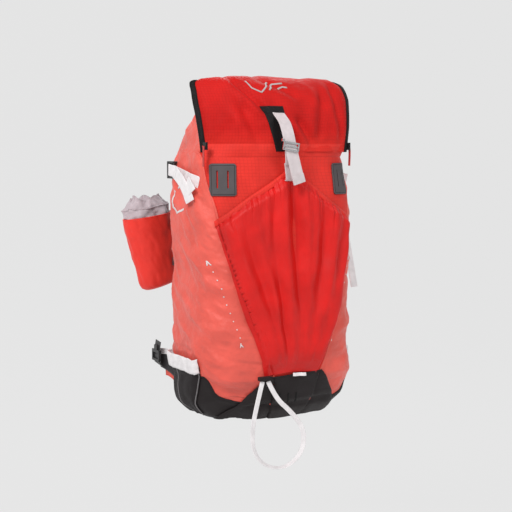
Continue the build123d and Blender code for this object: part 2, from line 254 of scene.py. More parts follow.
RED = (0.76, 0.033, 0.022)
M = {
    "ripstop": fabric("ripstop_red", RED, 0.60, grid=RIPSTOP, sheen=0.04, specular=0.2),
    # The hood's colour is the front's red ripstop painted darker: painted shade above the fold, fading back to RED at
    # the fold.
    "hood_red": fabric("hood_red", (0.58, 0.011, 0.009), 0.60, grid=RIPSTOP, sheen=0.02, specular=0.12,
                       fade=(-0.112, -0.070, RED)),
    # The pouch's red is the smooth red painted brighter: painted light on the pouch.
    "pouch_red": fabric("pouch_red", (0.97, 0.042, 0.028), 0.45, sheen=0.05, pitch=0.0007, specular=0.3),
    # strap_web is the white webbing painted darker and pinkish grey: painted shade on the closure strap.
    "strap_web": webbing("webbing_white_shaded", (0.70, 0.62, 0.63)),
    # A near-black painted shade for the insides of the base patch's slits.
    "void": hard("slit_painted_shade", (0.004, 0.004, 0.004), 0.9),
    "print_grey": hard("printed_grey", (0.50, 0.42, 0.42), 0.5, grain=900.0),
    "side_red": fabric("side_red", (0.80, 0.104, 0.074), 0.46, sheen=0.10, pitch=0.0007, specular=0.45,
                       crinkle=0.0042),
    "shiny_red": fabric("smooth_red", (0.68, 0.010, 0.008), 0.42, sheen=0.0, pitch=0.0006, specular=0.30),
    "boot": fabric("boot_black", (0.019, 0.0145, 0.015), 0.62, pitch=0.0012, weave_depth=0.0003, sheen=0.03),
    "stretch": fabric("stretch_black", (0.022, 0.018, 0.019), 0.85, pitch=0.0014, weave_depth=0.0004, sheen=0.05),
    "stretch_grey": fabric("piping_grey", (0.16, 0.145, 0.15), 0.7, pitch=0.0012),
    "red_web": webbing("webbing_red", (0.50, 0.02, 0.016)),
    "padding": fabric("padding_mesh", (0.045, 0.042, 0.045), 0.85, pitch=0.0024, weave_depth=0.0005),
    "silver": fabric("silver_lining", (0.56, 0.47, 0.50), 0.38, sheen=0.1, coat=0.15, crinkle=0.0003, wear=0.12),
    "trim": fabric("trim_black", (0.006, 0.005, 0.0055), 0.5, pitch=0.0010, weave_depth=0.0003, sheen=0.05),
    "airbag": fabric("airbag_orange", (0.75, 0.22, 0.02), 0.5, pitch=0.0010, crinkle=0.0010),
    "white_web": webbing("webbing_white", (0.90, 0.86, 0.87)),
    "black_web": webbing("webbing_black", (0.030, 0.028, 0.030)),
    "rubber": hard("lash_rubber", (0.078, 0.066, 0.070), 0.62, grain=500.0, depth=0.00012),
    "plastic": hard("black_plastic", (0.018, 0.018, 0.019), 0.42, grain=600.0),
    "sheet": hard("frame_sheet_plastic", (0.12, 0.12, 0.13), 0.5),
    "red_plastic": hard("red_plastic", (0.62, 0.02, 0.015), 0.35),
    "steel": hard("brushed_steel", (0.66, 0.66, 0.67), 0.28, 1.0, 300.0, 0.00004, (8, 1, 1)),
    "aluminium": hard("aluminium", (0.72, 0.72, 0.74), 0.38, 1.0, 300.0, 0.00004, (1, 1, 8)),
    "print": hard("printed_mark", (0.80, 0.74, 0.74), 0.5, grain=900.0),
}
SLOTS_OF = {
    "ripstop_red": "ripstop hood_red side_red red_web", "smooth_red": "shiny_red pouch_red",
    "boot_black": "boot trim void", "stretch_black": "stretch stretch_grey",
    "webbing_white": "white_web strap_web print print_grey", "webbing_black": "black_web", "padding": "padding",
    "silver_fabric": "silver", "airbag_fabric": "airbag", "lash_rubber": "rubber", "black_plastic": "plastic",
    "red_plastic": "red_plastic", "steel": "steel", "aluminium": "aluminium", "sheet_plastic": "sheet"}
SLOT = {material: slot for slot, names in SLOTS_OF.items() for material in names.split()}


# ---- mesh building ------------------------------------------------------------
def mesh_object(name, verts, faces, material, uvs=None, smooth=True):
    """A mesh piece from points in metres. uvs is one (u, v) for each vertex, also in metres."""
    mesh = bpy.data.meshes.new(name)
    mesh.from_pydata([tuple(v) for v in verts], [], faces)
    mesh.update()
    layer = mesh.uv_layers.new(name="UVMap")
    if uvs is not None:
        for loop in mesh.loops:
            layer.data[loop.index].uv = uvs[loop.vertex_index]
    mesh.materials.append(M[material])
    obj = link_object(name, mesh)
    if smooth:
        mesh.polygons.foreach_set("use_smooth", [True] * len(mesh.polygons))
    return obj


def thicken(obj, thickness, offset):
    solid = obj.modifiers.new("thickness", "SOLIDIFY")
    solid.thickness = thickness
    solid.offset = offset


def quads(m, n, closed=False):
    """Faces of a grid of m rows of n points; closed joins each row's end to its start."""
    return [(i * n + j, i * n + (j + 1) % n, (i + 1) * n + (j + 1) % n, (i + 1) * n + j)
            for i in range(m - 1) for j in range(n if closed else n - 1)]


def rows_of(nu, nv, point):
    """nv rows of nu points from point(u, v), u and v running from 0 to 1."""
    return [[tuple(point(j / (nu - 1), i / (nv - 1))) for j in range(nu)] for i in range(nv)]


def circle(count, ends_meet=False):
    """Angles round a circle, with the first one again at the end if the ends meet."""
    return [2 * math.pi * j / count for j in range(count + ends_meet)]


def box_uvs(mesh):
    """UVs in metres, seen along the axis that each face looks along most."""
    layer = mesh.uv_layers.new(name="UVMap")
    for poly in mesh.polygons:
        axis = max(range(3), key=lambda k: abs(poly.normal[k]))
        keep = [k for k in range(3) if k != axis]
        for index in poly.loop_indices:
            co = mesh.vertices[mesh.loops[index].vertex_index].co
            layer.data[index].uv = (co[keep[0]], co[keep[1]])


def grid(name, rows, material, thickness=0.0, outward=-1.0, flip=False, closed=False, body="pack"):
    """A sheet from rows of points. UVs are the distances walked along and across the rows."""
    rows = np.array(rows, float)
    m, n = rows.shape[:2]
    across = np.zeros((m, n))
    across[:, 1:] = np.cumsum(np.linalg.norm(np.diff(rows, axis=1), axis=2), axis=1)
    across -= across[:, n // 2:n // 2 + 1]
    along = np.zeros((m, n))
    along[1:] = np.cumsum(np.linalg.norm(np.diff(rows, axis=0), axis=2).mean(1))[:, None]
    faces = quads(m, n, closed)
    if flip:
        faces = [quad[::-1] for quad in faces]
    obj = mesh_object(name, rows.reshape(-1, 3), faces, material,
                      np.stack([across, along], -1).reshape(-1, 2).tolist())
    if thickness:
        thicken(obj, thickness, outward)
    if body:
        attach(obj, body)
    return obj


def fbm(x, y, z, octaves=3):
    """Smooth repeatable noise, about -1 to 1."""
    return noise.fractal(Vector((x, y, z)), 0.9, 2.1, octaves)


def smoothstep(a, b, x):
    t = np.clip((np.asarray(x, float) - a) / (b - a), 0, 1)
    return t * t * (3 - 2 * t)


# ---- webbing ---------------------------------------------------------------------------
def smooth_line(points, per=10):
    """Catmull-Rom curve through the points."""
    pts = [Vector(p) for p in points]
    pts = [pts[0] * 2 - pts[1]] + pts + [pts[-1] * 2 - pts[-2]]
    line = []
    for a, b, c, d in zip(pts, pts[1:], pts[2:], pts[3:]):
        for k in range(per):
            t = k / per
            line.append(0.5 * ((2 * b) + (c - a) * t + (2 * a - 5 * b + 4 * c - d) * t * t
                               + (3 * b - a - 3 * c + d) * t ** 3))
    line.append(pts[-2])
    return line


def tape(name, line, across, width, thickness, material, body="pack"):
    """Flat webbing along a line. across is one direction, or one for each point."""
    line = [Vector(p) for p in line]
    count = len(line)
    if not isinstance(across, list):
        across = [across] * count
    bevel = min(thickness * 0.45, 0.0006)
    half, deep = width / 2, thickness / 2
    flat = [(width - 2 * bevel) * k / 6 for k in range(7)]
    profile = ([(-half + bevel + x, deep) for x in flat] + [(half, deep - bevel), (half, -deep + bevel)]
               + [(half - bevel - x, -deep) for x in flat] + [(-half, -deep + bevel), (-half, deep - bevel)])
    verts, uvs, faces = [], [], []
    walked = 0.0
    for i, p in enumerate(line):
        ahead = (line[min(i + 1, count - 1)] - line[max(i - 1, 0)]).normalized()
        side_dir = Vector(across[i])
        side_dir = (side_dir - ahead * side_dir.dot(ahead)).normalized()
        up = ahead.cross(side_dir).normalized()
        if i:
            walked += (p - line[i - 1]).length
        for a, b in profile:
            verts.append(tuple(p + side_dir * a + up * b))
            uvs.append((a, walked))
    m = len(profile)
    for i in range(count - 1):
        for k in range(m):
            q = (k + 1) % m
            faces.append((i * m + k, (i + 1) * m + k, (i + 1) * m + q, i * m + q))
    faces.append(tuple(range(m)))
    faces.append(tuple(reversed(range((count - 1) * m, count * m))))
    obj = mesh_object(name, verts, faces, material, uvs, smooth=False)
    bm = bmesh.new()
    bm.from_mesh(obj.data)
    bmesh.ops.recalc_face_normals(bm, faces=bm.faces)
    bm.to_mesh(obj.data)
    bm.free()
    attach(obj, body)
    return obj


# ---- ice-axe loop -----------------------------------------------------------------------
LOOP_Y = -0.184
LOOP = [(-0.0495, -0.471), (-0.058, -0.502), (-0.068, -0.545), (-0.066, -0.585), (-0.042, -0.611), (-0.006, -0.616),
        (0.024, -0.594), (0.027, -0.556), (0.002, -0.524), (-0.026, -0.500), (-0.0395, -0.471)]
guide = bpy.data.curves.new("axe_loop_route", "CURVE")
guide.dimensions = "3D"
guide.resolution_u = 16
spline = guide.splines.new("NURBS")
spline.points.add(len(LOOP) - 1)
for point, (x, z) in zip(spline.points, LOOP):
    point.co = (x, LOOP_Y, z, 1)
spline.order_u = 3
spline.use_endpoint_u = True
guide_object = link_object("axe_loop_route", guide)
bpy.context.view_layer.update()
route_mesh = bpy.data.meshes.new_from_object(guide_object)
route = [Vector(v.co) for v in route_mesh.vertices]
bpy.data.objects.remove(guide_object)
bpy.data.meshes.remove(route_mesh)
turns = []
for k in range(len(route)):
    t = k / (len(route) - 1)
    ahead = (route[min(k + 1, len(route) - 1)] - route[max(k - 1, 0)]).normalized()
    flat = ahead.cross(Vector((0, 1, 0))).normalized()
    twist = 1.22 * math.exp(-((t - 0.50) / 0.20) ** 2)
    turns.append(flat * math.cos(twist) + Vector((0, 1, 0)) * math.sin(twist))
axe_loop = tape("axe_loop_tape", route, turns, 0.008, 0.0016, "white_web")
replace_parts(axe_loop, "axe_loop")


# ---- the bag's form -------------------------------------------------------------
# Lengths in metres: how far the smooth skin is drawn in, the floor of the bag, the height of the hood's fold,
# the crest's distance from the back plane and how far the skin rises above the fold.
SINK = 0.0034
BASE_Z = -0.5425
FOLD_Z = -0.108
CREST_Y = 0.092
TOP_RISE = 0.1285
CREST_DROP = 0.95
SHELL_STAND = 0.0035
RIGHT_BASE_WIDER = 0.0105
BACK_CORNER = 0.62
MIDDLE_Y = -0.09
# Half width at each height.
HALF = [(-0.540, 0.112), (-0.514, 0.129), (-0.430, 0.1345), (-0.300, 0.1345), (-0.170, 0.1385),
        (-0.125, 0.1365), (FOLD_Z, 0.1310), (-0.080, 0.1195), (-0.055, 0.1065), (-0.035, 0.098), (0.0, 0.090),
        (0.020, 0.086)]
# Distance of the front from the back plane, at each height.
DEPTH = [(-0.540, 0.137), (-0.506, 0.164), (-0.470, 0.177), (-0.440, 0.183), (-0.300, 0.186),
         (-0.108, 0.179)]
# Distance of each front seam from the middle, at each height.
SEAM = {-1: [(-0.540, 0.034), (-0.468, 0.0415), (-0.439, 0.048), (-0.409, 0.0595), (-0.380, 0.073),
             (-0.322, 0.092), (-0.264, 0.108), (-0.2185, 0.1185), (-0.160, 0.1265), (-0.108, 0.127),
             (-0.090, 0.104), (0.030, 0.084)],
        1: [(-0.540, 0.050), (-0.459, 0.0590), (-0.425, 0.072), (-0.357, 0.101), (-0.300, 0.112),
            (-0.222, 0.1215), (-0.160, 0.1265), (-0.108, 0.127), (-0.090, 0.104), (0.030, 0.084)]}


def along_z(table, z):
    zs, values = zip(*table)
    return np.interp(z, zs, values)


def half_width(z):
    return along_z(HALF, z) - SINK + SHELL_STAND


def front_edge(z):
    """Distance of the front from the back plane at that height, and of the back."""
    z = np.asarray(z, float)
    low = along_z(DEPTH, np.minimum(z, FOLD_Z))
    rise = np.clip((z - FOLD_Z) / 0.128, 0, 1)
    front = np.where(z > FOLD_Z, CREST_Y + 0.087 * np.sqrt(1 - rise ** 2), low) - SINK
    lift = np.clip((z + 0.100) / 0.120, 0, 1)
    back = CREST_Y - CREST_Y * np.sqrt(1 - lift ** 2) + SINK
    return front, back


def section_point(angle, z):
    """A point of the bag's skin: angle 0 at the wearer's right, turning by the front (-Y)."""
    a = half_width(z)
    if math.cos(angle) > 0:
        a += RIGHT_BASE_WIDER * float(smoothstep(-0.432, -0.474, z))
    front, back = front_edge(z)
    middle = back + (front - back) * 0.36
    c, s = math.cos(angle), math.sin(angle)
    if s >= 0:
        n = 2.9 + (1.3 * float(smoothstep(-0.125, -0.21, z)) if c > 0 else 0.0)
        x = a * math.copysign(abs(c) ** (2 / n), c)
        y = middle + (front - middle) * abs(s) ** (2 / n)
    else:
        n = 5.0
        x = a * math.copysign(abs(c) ** (2 / n), c)
        y = middle - (middle - back) * abs(s) ** (2 / n)
    return float(x), float(-y)


def seam_angle(z, side):
    """Angle at which the front seam runs at that height on one side."""
    want = float(along_z(SEAM[side], z))
    low, high = 0.05, math.pi / 2
    for _ in range(26):
        mid = (low + high) / 2
        if section_point(mid, z)[0] > want:
            low = mid
        else:
            high = mid
    return mid if side > 0 else math.pi - mid


def wrinkle(x, y, z, part):
    """How far the skin stands out at a point, in metres."""
    if part == "front":
        soft = 0.0016 * fbm(x * 14, y * 14, z * 11)
        dent = -0.004 * math.exp(-((x - 0.06) ** 2 + (z + 0.128) ** 2) / 0.0006)
        return soft + dent
    if part == "side":
        slope = z * 0.75 - y * 0.66
        across = y * 0.75 + z * 0.66
        bend = 0.020 * fbm(slope * 9, across * 9, 2.0, 2)
        ridge = 1 - abs(fbm((slope + bend) * 13 + 3.1, across * 4.5, x * 2, 2))
        fine = 1 - abs(fbm((slope - bend) * 30 + 1.7, (across + bend) * 15.0, x * 3 + 5, 2))
        tiny = 1 - abs(fbm(slope * 62, across * 50, x * 7 + 9, 2))
        belly = 0.003 * math.sin(min(1, max(0, (z + 0.53) / 0.43)) * math.pi)
        calm = float(smoothstep(-0.475, -0.435, z)) if y > -0.125 else 1.0
        crumple = 0.0092 * (ridge - 0.75) + 0.0056 * (fine - 0.7) + 0.0016 * (tiny - 0.7)
        return crumple * (0.12 + 0.88 * calm) + belly
    if part == "top":
        return 0.0030 * fbm(x * 13 + 2, y * 20, z * 13)
    return 0.0010 * fbm(x * 20, y * 20, z * 20)


COLUMNS = {"right": 104, "front": 96, "left": 104, "back": 56}
ROWS_BOOT, ROWS_BODY, ROWS_TOP = 16, 220, 56


def boot_line(angle):
    """Height of the boot's top edge round the bag."""
    front = math.sin(angle)
    return float(np.interp(front, [-1.0, 0.0, 0.40, 0.463, 0.576, 0.72, 0.86, 1.0],
                           [-0.474, -0.470, -0.468, -0.474, -0.497, -0.509, -0.517, -0.517]))


def skin_rows():
    """Angles, heights and points of the whole skin, with columns on the seams and rows on the boot's edge."""
    ts = [(zone, i / steps) for zone, steps, count in
          (("boot", ROWS_BOOT, ROWS_BOOT), ("body", ROWS_BODY, ROWS_BODY), ("top", ROWS_TOP, ROWS_TOP + 1))
          for i in range(count)]
    total = sum(COLUMNS.values())
    points = np.zeros((len(ts), total, 3))
    parts = []
    for row, (zone, t) in enumerate(ts):
        guess = {"boot": -0.515, "body": -0.508 + 0.400 * t, "top": FOLD_Z + TOP_RISE * math.sin(t * math.pi / 2)}[zone]
        right, left = seam_angle(guess, 1), seam_angle(guess, -1)
        stops = [-BACK_CORNER, right, left, math.pi + BACK_CORNER, 2 * math.pi - BACK_CORNER]
        column = 0
        for name, a0, a1 in zip(("right", "front", "left", "back"), stops, stops[1:]):
            count = COLUMNS[name]
            for j in range(count):
                angle = a0 + (a1 - a0) * j / count
                z = guess
                if zone != "top":
                    edge = boot_line(angle)
                    z = BASE_Z + (edge - BASE_Z) * t if zone == "boot" else edge + (FOLD_Z - edge) * t
                x, y = section_point(angle, z)
                if zone == "boot":
                    fall = min(1.0, max(0.0, (-0.508 - z) / (-0.508 - BASE_Z)))
                    shrink = 1 - 0.13 * (1 - math.sqrt(max(0.0, 1 - fall ** 2)))
                    x, y = x * shrink, -0.075 + (y + 0.075) * shrink
                if z > FOLD_Z:
                    z = FOLD_Z + (z - FOLD_Z) * CREST_DROP
                points[row, column] = (x, y, z)
                if row == 0:
                    parts.append(name)
                column += 1
    return ts, parts, points


def normals_of(points):
    """Outward directions of a grid closed across its columns."""
    across = np.roll(points, -1, 1) - np.roll(points, 1, 1)
    along = np.gradient(points, axis=0)
    n = np.cross(along, across)
    n /= np.maximum(np.linalg.norm(n, axis=2, keepdims=True), 1e-9)
    outward = points - [0, MIDDLE_Y, 0]
    outward[..., 2] = 0
    flip = np.sign((n * outward).sum(2, keepdims=True))
    return n * np.where(flip == 0, 1, flip)


zones, parts, skin = skin_rows()
out = normals_of(skin)
lift = np.zeros(skin.shape[:2])
column_start = {}
for j, part in enumerate(parts):
    column_start.setdefault(part, j)
for i, (zone, t) in enumerate(zones):
    for j, part in enumerate(parts):
        x, y, z = skin[i, j]
        kind = "side" if part in ("right", "left") else part
        if zone == "boot":
            kind = "back"
        elif zone == "top" and part == "back":
            kind = "top"
        edge = j - column_start[part]
        span = COLUMNS[part]
        seam = 20
        if part != "back":
            seam = min(edge, span - edge) * 96 / max(span, 96) * (1.0 if span < 100 else 0.62)
        near = 1 - math.exp(-(seam / 5.0) ** 2)
        row_near = 1.0
        if zone == "body":
            row_near = 1 - math.exp(-((i - ROWS_BOOT) / 3.0) ** 2)
        value = wrinkle(x, y, z, kind) * (0.25 + 0.75 * near) * (0.3 + 0.7 * row_near)
        if part != "back" and zone != "top":
            value -= 0.0016 * math.exp(-(seam / 1.3) ** 2)
        value -= (0.012 if x < 0 else 0.003) * float(
            smoothstep(-0.452, -0.515, z) * smoothstep(-0.09, -0.135, y) * smoothstep(0.03, 0.09, abs(x)))
        if zone == "boot":
            value += 0.0016 * smoothstep(0, 0.25, 1 - t)
        lift[i, j] = value
skin = skin + out * lift[..., None]


# The straight edges of the mouth under the hood and of the airbag's cover.
MOUTH_X, MOUTH_Y, MOUTH_Z = 0.0785, -0.047, -0.1005
COVER_X, COVER_FRONT, COVER_REAR = 0.081, -0.0475, -0.0195
CUTS = [(0, MOUTH_X), (0, -MOUTH_X), (1, MOUTH_Y), (2, MOUTH_Z), (0, COVER_X), (0, -COVER_X), (1, COVER_FRONT),
        (1, COVER_REAR)]


def trim_to(bm, drop):
    """Cuts a panel along the straight lines of the openings and deletes what drop(centre) names."""
    for axis, value in CUTS:
        on, along = Vector(), Vector()
        on[axis], along[axis] = value, 1
        top = [f for f in bm.faces if f.calc_center_median().z > MOUTH_Z - 0.03]
        geometry = list({v for f in top for v in f.verts}) + list({e for f in top for e in f.edges}) + top
        bmesh.ops.bisect_plane(bm, geom=geometry, dist=1e-6, plane_co=on, plane_no=along)
    gone = [f for f in bm.faces if drop(f.calc_center_median())]
    bmesh.ops.delete(bm, geom=gone, context="FACES")
    # Under the hood's front corners the shell draws back.
    for v in bm.verts:
        x, y, z = v.co
        v.co.y += 0.0055 * float(smoothstep(-0.106, -0.094, z) * smoothstep(-0.120, -0.145, y))
        v.co.z -= 0.0060 * float(smoothstep(-0.020, 0.004, z) * smoothstep(-0.050, -0.070, y))


def panel(name, material, keep, body="pack", drop=None):
    """A piece of the skin: the faces for which keep(zone, part, centre) holds."""
    rows, cols = skin.shape[:2]
    used, verts, uvs, faces = {}, [], [], []
    arc = np.zeros(cols)
    arc[1:] = np.cumsum(np.linalg.norm(np.diff(skin[rows // 2], axis=0), axis=1))
    turn = 0.35 if material == "side_red" else 0.0
    for i in range(rows - 1):
        for j in range(cols):
            k = (j + 1) % cols
            corners = ((i, j), (i, k), (i + 1, k), (i + 1, j))
            centre = sum(skin[c] for c in corners) / 4
            if not keep(zones[i][0], parts[j], centre):
                continue
            face = []
            for c in corners:
                if c not in used:
                    used[c] = len(verts)
                    verts.append(skin[c])
                    u, v = (arc[c[1]] if c[1] or j < cols - 1 else arc[-1] + 0.002), skin[c][2]
                    uvs.append((u * math.cos(turn) - v * math.sin(turn), u * math.sin(turn) + v * math.cos(turn)))
                face.append(used[c])
            faces.append(face)
    obj = mesh_object(name, verts, faces, material, uvs)
    bm = bmesh.new()
    bm.from_mesh(obj.data)
    if drop:
        trim_to(bm, drop)
    centre = Vector((0, MIDDLE_Y, -0.28))
    score = sum((f.calc_center_median() - centre).dot(f.normal) for f in bm.faces)
    if score < 0:
        bmesh.ops.reverse_faces(bm, faces=bm.faces)
    bm.to_mesh(obj.data)
    bm.free()
    thicken(obj, 0.0018, -1)
    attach(obj, body)
    return obj


def in_mouth(c):
    return c[2] > MOUTH_Z and c[1] < MOUTH_Y and abs(c[0]) < MOUTH_X


def in_cover(c):
    return COVER_FRONT < c[1] < COVER_REAR and abs(c[0]) < COVER_X and c[2] > -0.06


front = panel("front_panel_cloth", "ripstop", lambda zone, part, c: zone == "body" and part == "front")
boot = panel("boot_cloth", "boot", lambda zone, part, c: zone == "boot")
back = panel("back_cloth", "boot", lambda zone, part, c: zone == "body" and part == "back")
side = {}
for name, sign in SIDES:
    def belongs(zone, part, c, name=name, sign=sign):
        return zone != "boot" and (part == name or zone == "top" and part == "back" and c[0] * sign > 0)
    side[name] = panel(f"side_cloth_{name}", "side_red", belongs, drop=lambda c: in_mouth(c) or in_cover(c))

cover = panel("airbag_cover_cloth", "side_red", lambda zone, part, c: zone != "boot" and c[2] > -0.05,
              body="airbag_cover", drop=lambda c: not in_cover(c))
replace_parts(cover, "airbag_cover")

# The underside closes the boot.
ring = skin[0]
cols = len(ring)
verts, faces, uvs = [], [], []
steps = 10
hub = np.array([0, -0.075, BASE_Z - 0.0006])
for s in range(steps):
    share = 1 - s / steps
    for p in ring:
        q = hub + (p - hub) * share
        q[2] = p[2] + (hub[2] - p[2]) * (1 - share) + 0.0005 * fbm(q[0] * 20, q[1] * 20, 3)
        verts.append(q)
        uvs.append((q[0], q[1]))
verts.append(hub)
uvs.append((0, 0))
for s in range(steps - 1):
    for j in range(cols):
        k = (j + 1) % cols
        faces.append((s * cols + j, (s + 1) * cols + j, (s + 1) * cols + k, s * cols + k))
for j in range(cols):
    faces.append(((steps - 1) * cols + j, len(verts) - 1, (steps - 1) * cols + (j + 1) % cols))
underside = mesh_object("boot_underside", verts, faces, "boot", uvs)
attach(underside, "pack")
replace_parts(front, "front_panel")
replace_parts(boot, "base_boot")
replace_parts(back, "back_sheet")
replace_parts(side["left"], "side_panel_left")
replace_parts(side["right"], "side_panel_right")

# ---- laying pieces on the skin --------------------------------------------------
skin_tree = BVHTree.FromPolygons([tuple(p) for p in skin.reshape(-1, 3)], quads(*skin.shape[:2], closed=True))


def onto(x, z, from_side="front", y=None, tree=None):
    """The skin's point and outward direction seen from the front at (x, z) or from a side at (y, z)."""
    tree = tree or skin_tree
    if from_side == "front":
        origin, direction = Vector((x, -0.5, z)), Vector((0, 1, 0))
    else:
        sign = 1 if from_side == "right" else -1
        origin, direction = Vector((0.5 * sign, y, z)), Vector((-sign, 0, 0))
    hit, normal, _, _ = tree.ray_cast(origin, direction)
    if hit is None:
        hit, normal, _, _ = tree.find_nearest(Vector((x or 0, y or -0.17, z)))
    if normal.dot(direction) > 0:
        normal = -normal
    return hit, normal


def laid(places, height, tree=None):
    """A line laid on the front at places (x, z), that far off it."""
    line = []
    for x, z in places:
        p, n = onto(x, z, tree=tree)
        line.append(p + n * height)
    return line


def at_skin_top(x, y):
    """Height of the skin right above or below (x, y)."""
    return skin_tree.ray_cast(Vector((x, y, 0.1)), Vector((0, 0, -1)))[0].z


# A strip of cloth joins the cover's front edge to the airbag tray's wall below it.
hinge_x = np.linspace(-0.0795, 0.0795, 60)
hinge_top = [at_skin_top(x, COVER_FRONT) for x in hinge_x]
low_end = min(hinge_top)
hinge_rows = [[(x, COVER_FRONT - 0.0006 * math.sin(math.pi * t), (low_end - 0.018) * (1 - t) + top * t)
               for x, top in zip(hinge_x, hinge_top)] for t in (k / 8 for k in range(9))]
hinge = grid("airbag_cover_hinge", hinge_rows, "side_red", body=None)
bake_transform(hinge)


def front_grid(outline, nx, nz, offset, tree=None):
    """Points over the front: outline(u, v) gives (x, z) and offset(u, v) the height off it."""
    def point(u, v):
        x, z = outline(u, v)
        p, n = onto(x, z, tree=tree)
        return p + n * offset(u, v)
    return rows_of(nx, nz, point)


# ---- gathered front pocket --------------------------------------------------------
POCKET_BOTTOM = -0.466
POCKET_EDGE = {side: [(z, x - 0.0008) for z, x in table if z < -0.16] for side, table in SEAM.items()}


def pocket_top(x):
    """Height of the pocket's gathered edge: an upturned V with slightly hollow flanks."""
    share = min(1.0, abs(x) / 0.1185)
    return -0.1385 - 0.0835 * share ** 1.06 + 0.0016 * math.sin(x * 70)


def pocket_point(u, v):
    z = POCKET_BOTTOM
    for _ in range(3):
        left, right = -along_z(POCKET_EDGE[-1], z), along_z(POCKET_EDGE[1], z)
        x = left + (right - left) * u
        bottom = POCKET_BOTTOM + 0.005 * math.sin(math.pi * u)
        z = bottom + (pocket_top(x) - bottom) * v
    return float(x), float(z)


# Folds of the pocket: place across it, half width, depth, height of the middle, half length, drift.
FOLDS = [(0.05, 0.095, 0.0120, 0.70, 0.36, 0.01), (-0.70, 0.085, 0.0070, 0.62, 0.34, 0.30),
         (-0.30, 0.080, 0.0070, 0.36, 0.26, 0.06), (0.50, 0.085, 0.0080, 0.66, 0.34, -0.14),
         (0.82, 0.060, 0.0040, 0.76, 0.22, -0.20), (-0.30, 0.055, 0.0036, 0.86, 0.15, 0.05)]


def pocket_height(u, v):
    """How far the pocket stands off the front: bellied, with folds falling from its gathers."""
    s = 2 * u - 1
    side_edge = float(smoothstep(0.0, 0.14, 1 - abs(s)))
    foot = float(smoothstep(0.0, 0.12, v))
    head = float(smoothstep(0.0, 0.05, 1 - v))
    belly = 0.0105 * side_edge * foot * (0.30 + 0.70 * head)
    folds = 0.0
    wander = 0.035 * fbm(v * 2.6, s * 1.3, 0.5, 2)
    for k, (at, wide, deep, high, long, drift) in enumerate(FOLDS):
        sway = at + drift * (1 - v) + wander + 0.02 * math.sin(5.0 * v + 1.7 * k)
        fade = math.exp(-abs((v - high) / long) ** 2.4)
        d = (s - sway) / wide
        folds -= deep * fade * math.exp(-abs(d) ** 1.6)
        folds += deep * 0.40 * fade * math.exp(-((abs(d) - 1.6) / 0.75) ** 2)
    phase = s * 12.5 + 0.9 * fbm(s * 2.6, 1.0, 2.0, 2) + 0.5 * s * (1 - v)
    near = abs(phase - round(phase))
    turn = round(phase)
    reach = 0.045 + 0.075 * (0.5 + 0.5 * math.sin(turn * 2.4 + 1.0)) ** 1.5
    strength = 0.6 + 0.4 * math.sin(turn * 1.7 + 0.3)
    pleat = (0.35 - math.exp(-(near / 0.15) ** 2)) * strength
    pleat_depth = 0.0034 * math.exp(-((1 - v) / reach) ** 2)
    soft = 0.0036 * fbm(s * 2.0, v * 2.4, 7.0, 2) * foot
    crumple = 0.0022 * fbm(s * 3.6 + v * 1.2, v * 5.0, 4.0, 2) * foot
    return (0.0011 + 0.0008 * side_edge + belly + (folds + pleat * pleat_depth) * side_edge * foot
            + (soft + crumple) * side_edge)


pocket = grid("front_pocket_cloth", front_grid(pocket_point, 330, 170, pocket_height), "shiny_red",
              thickness=0.0012, outward=0.0)
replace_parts(pocket, "front_pocket")


def pocket_rim_height(u, v):
    side_edge = float(smoothstep(0.0, 0.14, 1 - abs(2 * u - 1)))
    return 0.0022 + 0.0036 * side_edge * (1 - 0.55 * v) + 0.0012 * math.sin(v * math.pi)


def pocket_rim_point(u, v):
    x, z = pocket_point(u, 1.0)
    return x, z - 0.0035 + 0.0095 * v


rim = grid("front_pocket_edge", front_grid(pocket_rim_point, 210, 9, pocket_rim_height), "ripstop", 0.0012, 0.0)


# ---- seams: rolled cords of fabric along the skin ----------------------------------
def roll(name, points, radius, material, body="pack"):
    """A narrow rounded strip along a line of points, as a mesh tube with UVs."""
    points = [Vector(p) for p in points]
    rows = []
    sides = 8
    for i, p in enumerate(points):
        ahead = points[min(i + 1, len(points) - 1)] - points[max(i - 1, 0)]
        ahead.normalize()
        side_dir = ahead.cross(Vector((0.13, -0.9, 0.2)))
        side_dir.normalize()
        up = side_dir.cross(ahead)
        rows.append([tuple(p + side_dir * radius * math.cos(a) + up * radius * math.sin(a)) for a in circle(sides)])
    return grid(name, rows, material, closed=True, flip=True, body=body)


for name, sign in SIDES:
    j = column_start["front"] if sign > 0 else column_start["left"]
    line = [Vector(skin[i, j]) + Vector(out[i, j]) * 0.0011 for i in range(ROWS_BOOT, ROWS_BOOT + ROWS_BODY + 1)]
    roll(f"front_seam_{name}", line, 0.0017, "side_red")
row = [Vector(skin[ROWS_BOOT, j]) + Vector(out[ROWS_BOOT, j]) * 0.0004 for j in range(cols)]
row.append(row[0])
roll("boot_seam", row, 0.0010, "boot")


# ---- hood ---------------------------------------------------------------------------
HOOD_U, HOOD_V = 150, 120
HOOD_CREST = 0.72
HOOD_MIDDLE = Vector((0, -0.08, -0.12))


def hood_half(v):
    """Half width of the hood, v from 0 at the fold, 0.72 at the crest, to 1 at the rear edge."""
    return float(np.interp(v, [0, 0.15, 0.35, 0.55, 0.68, 0.76, 0.86, 1.0],
                           [0.1245, 0.1275, 0.1300, 0.1290, 0.1235, 0.1190, 0.110, 0.092]))


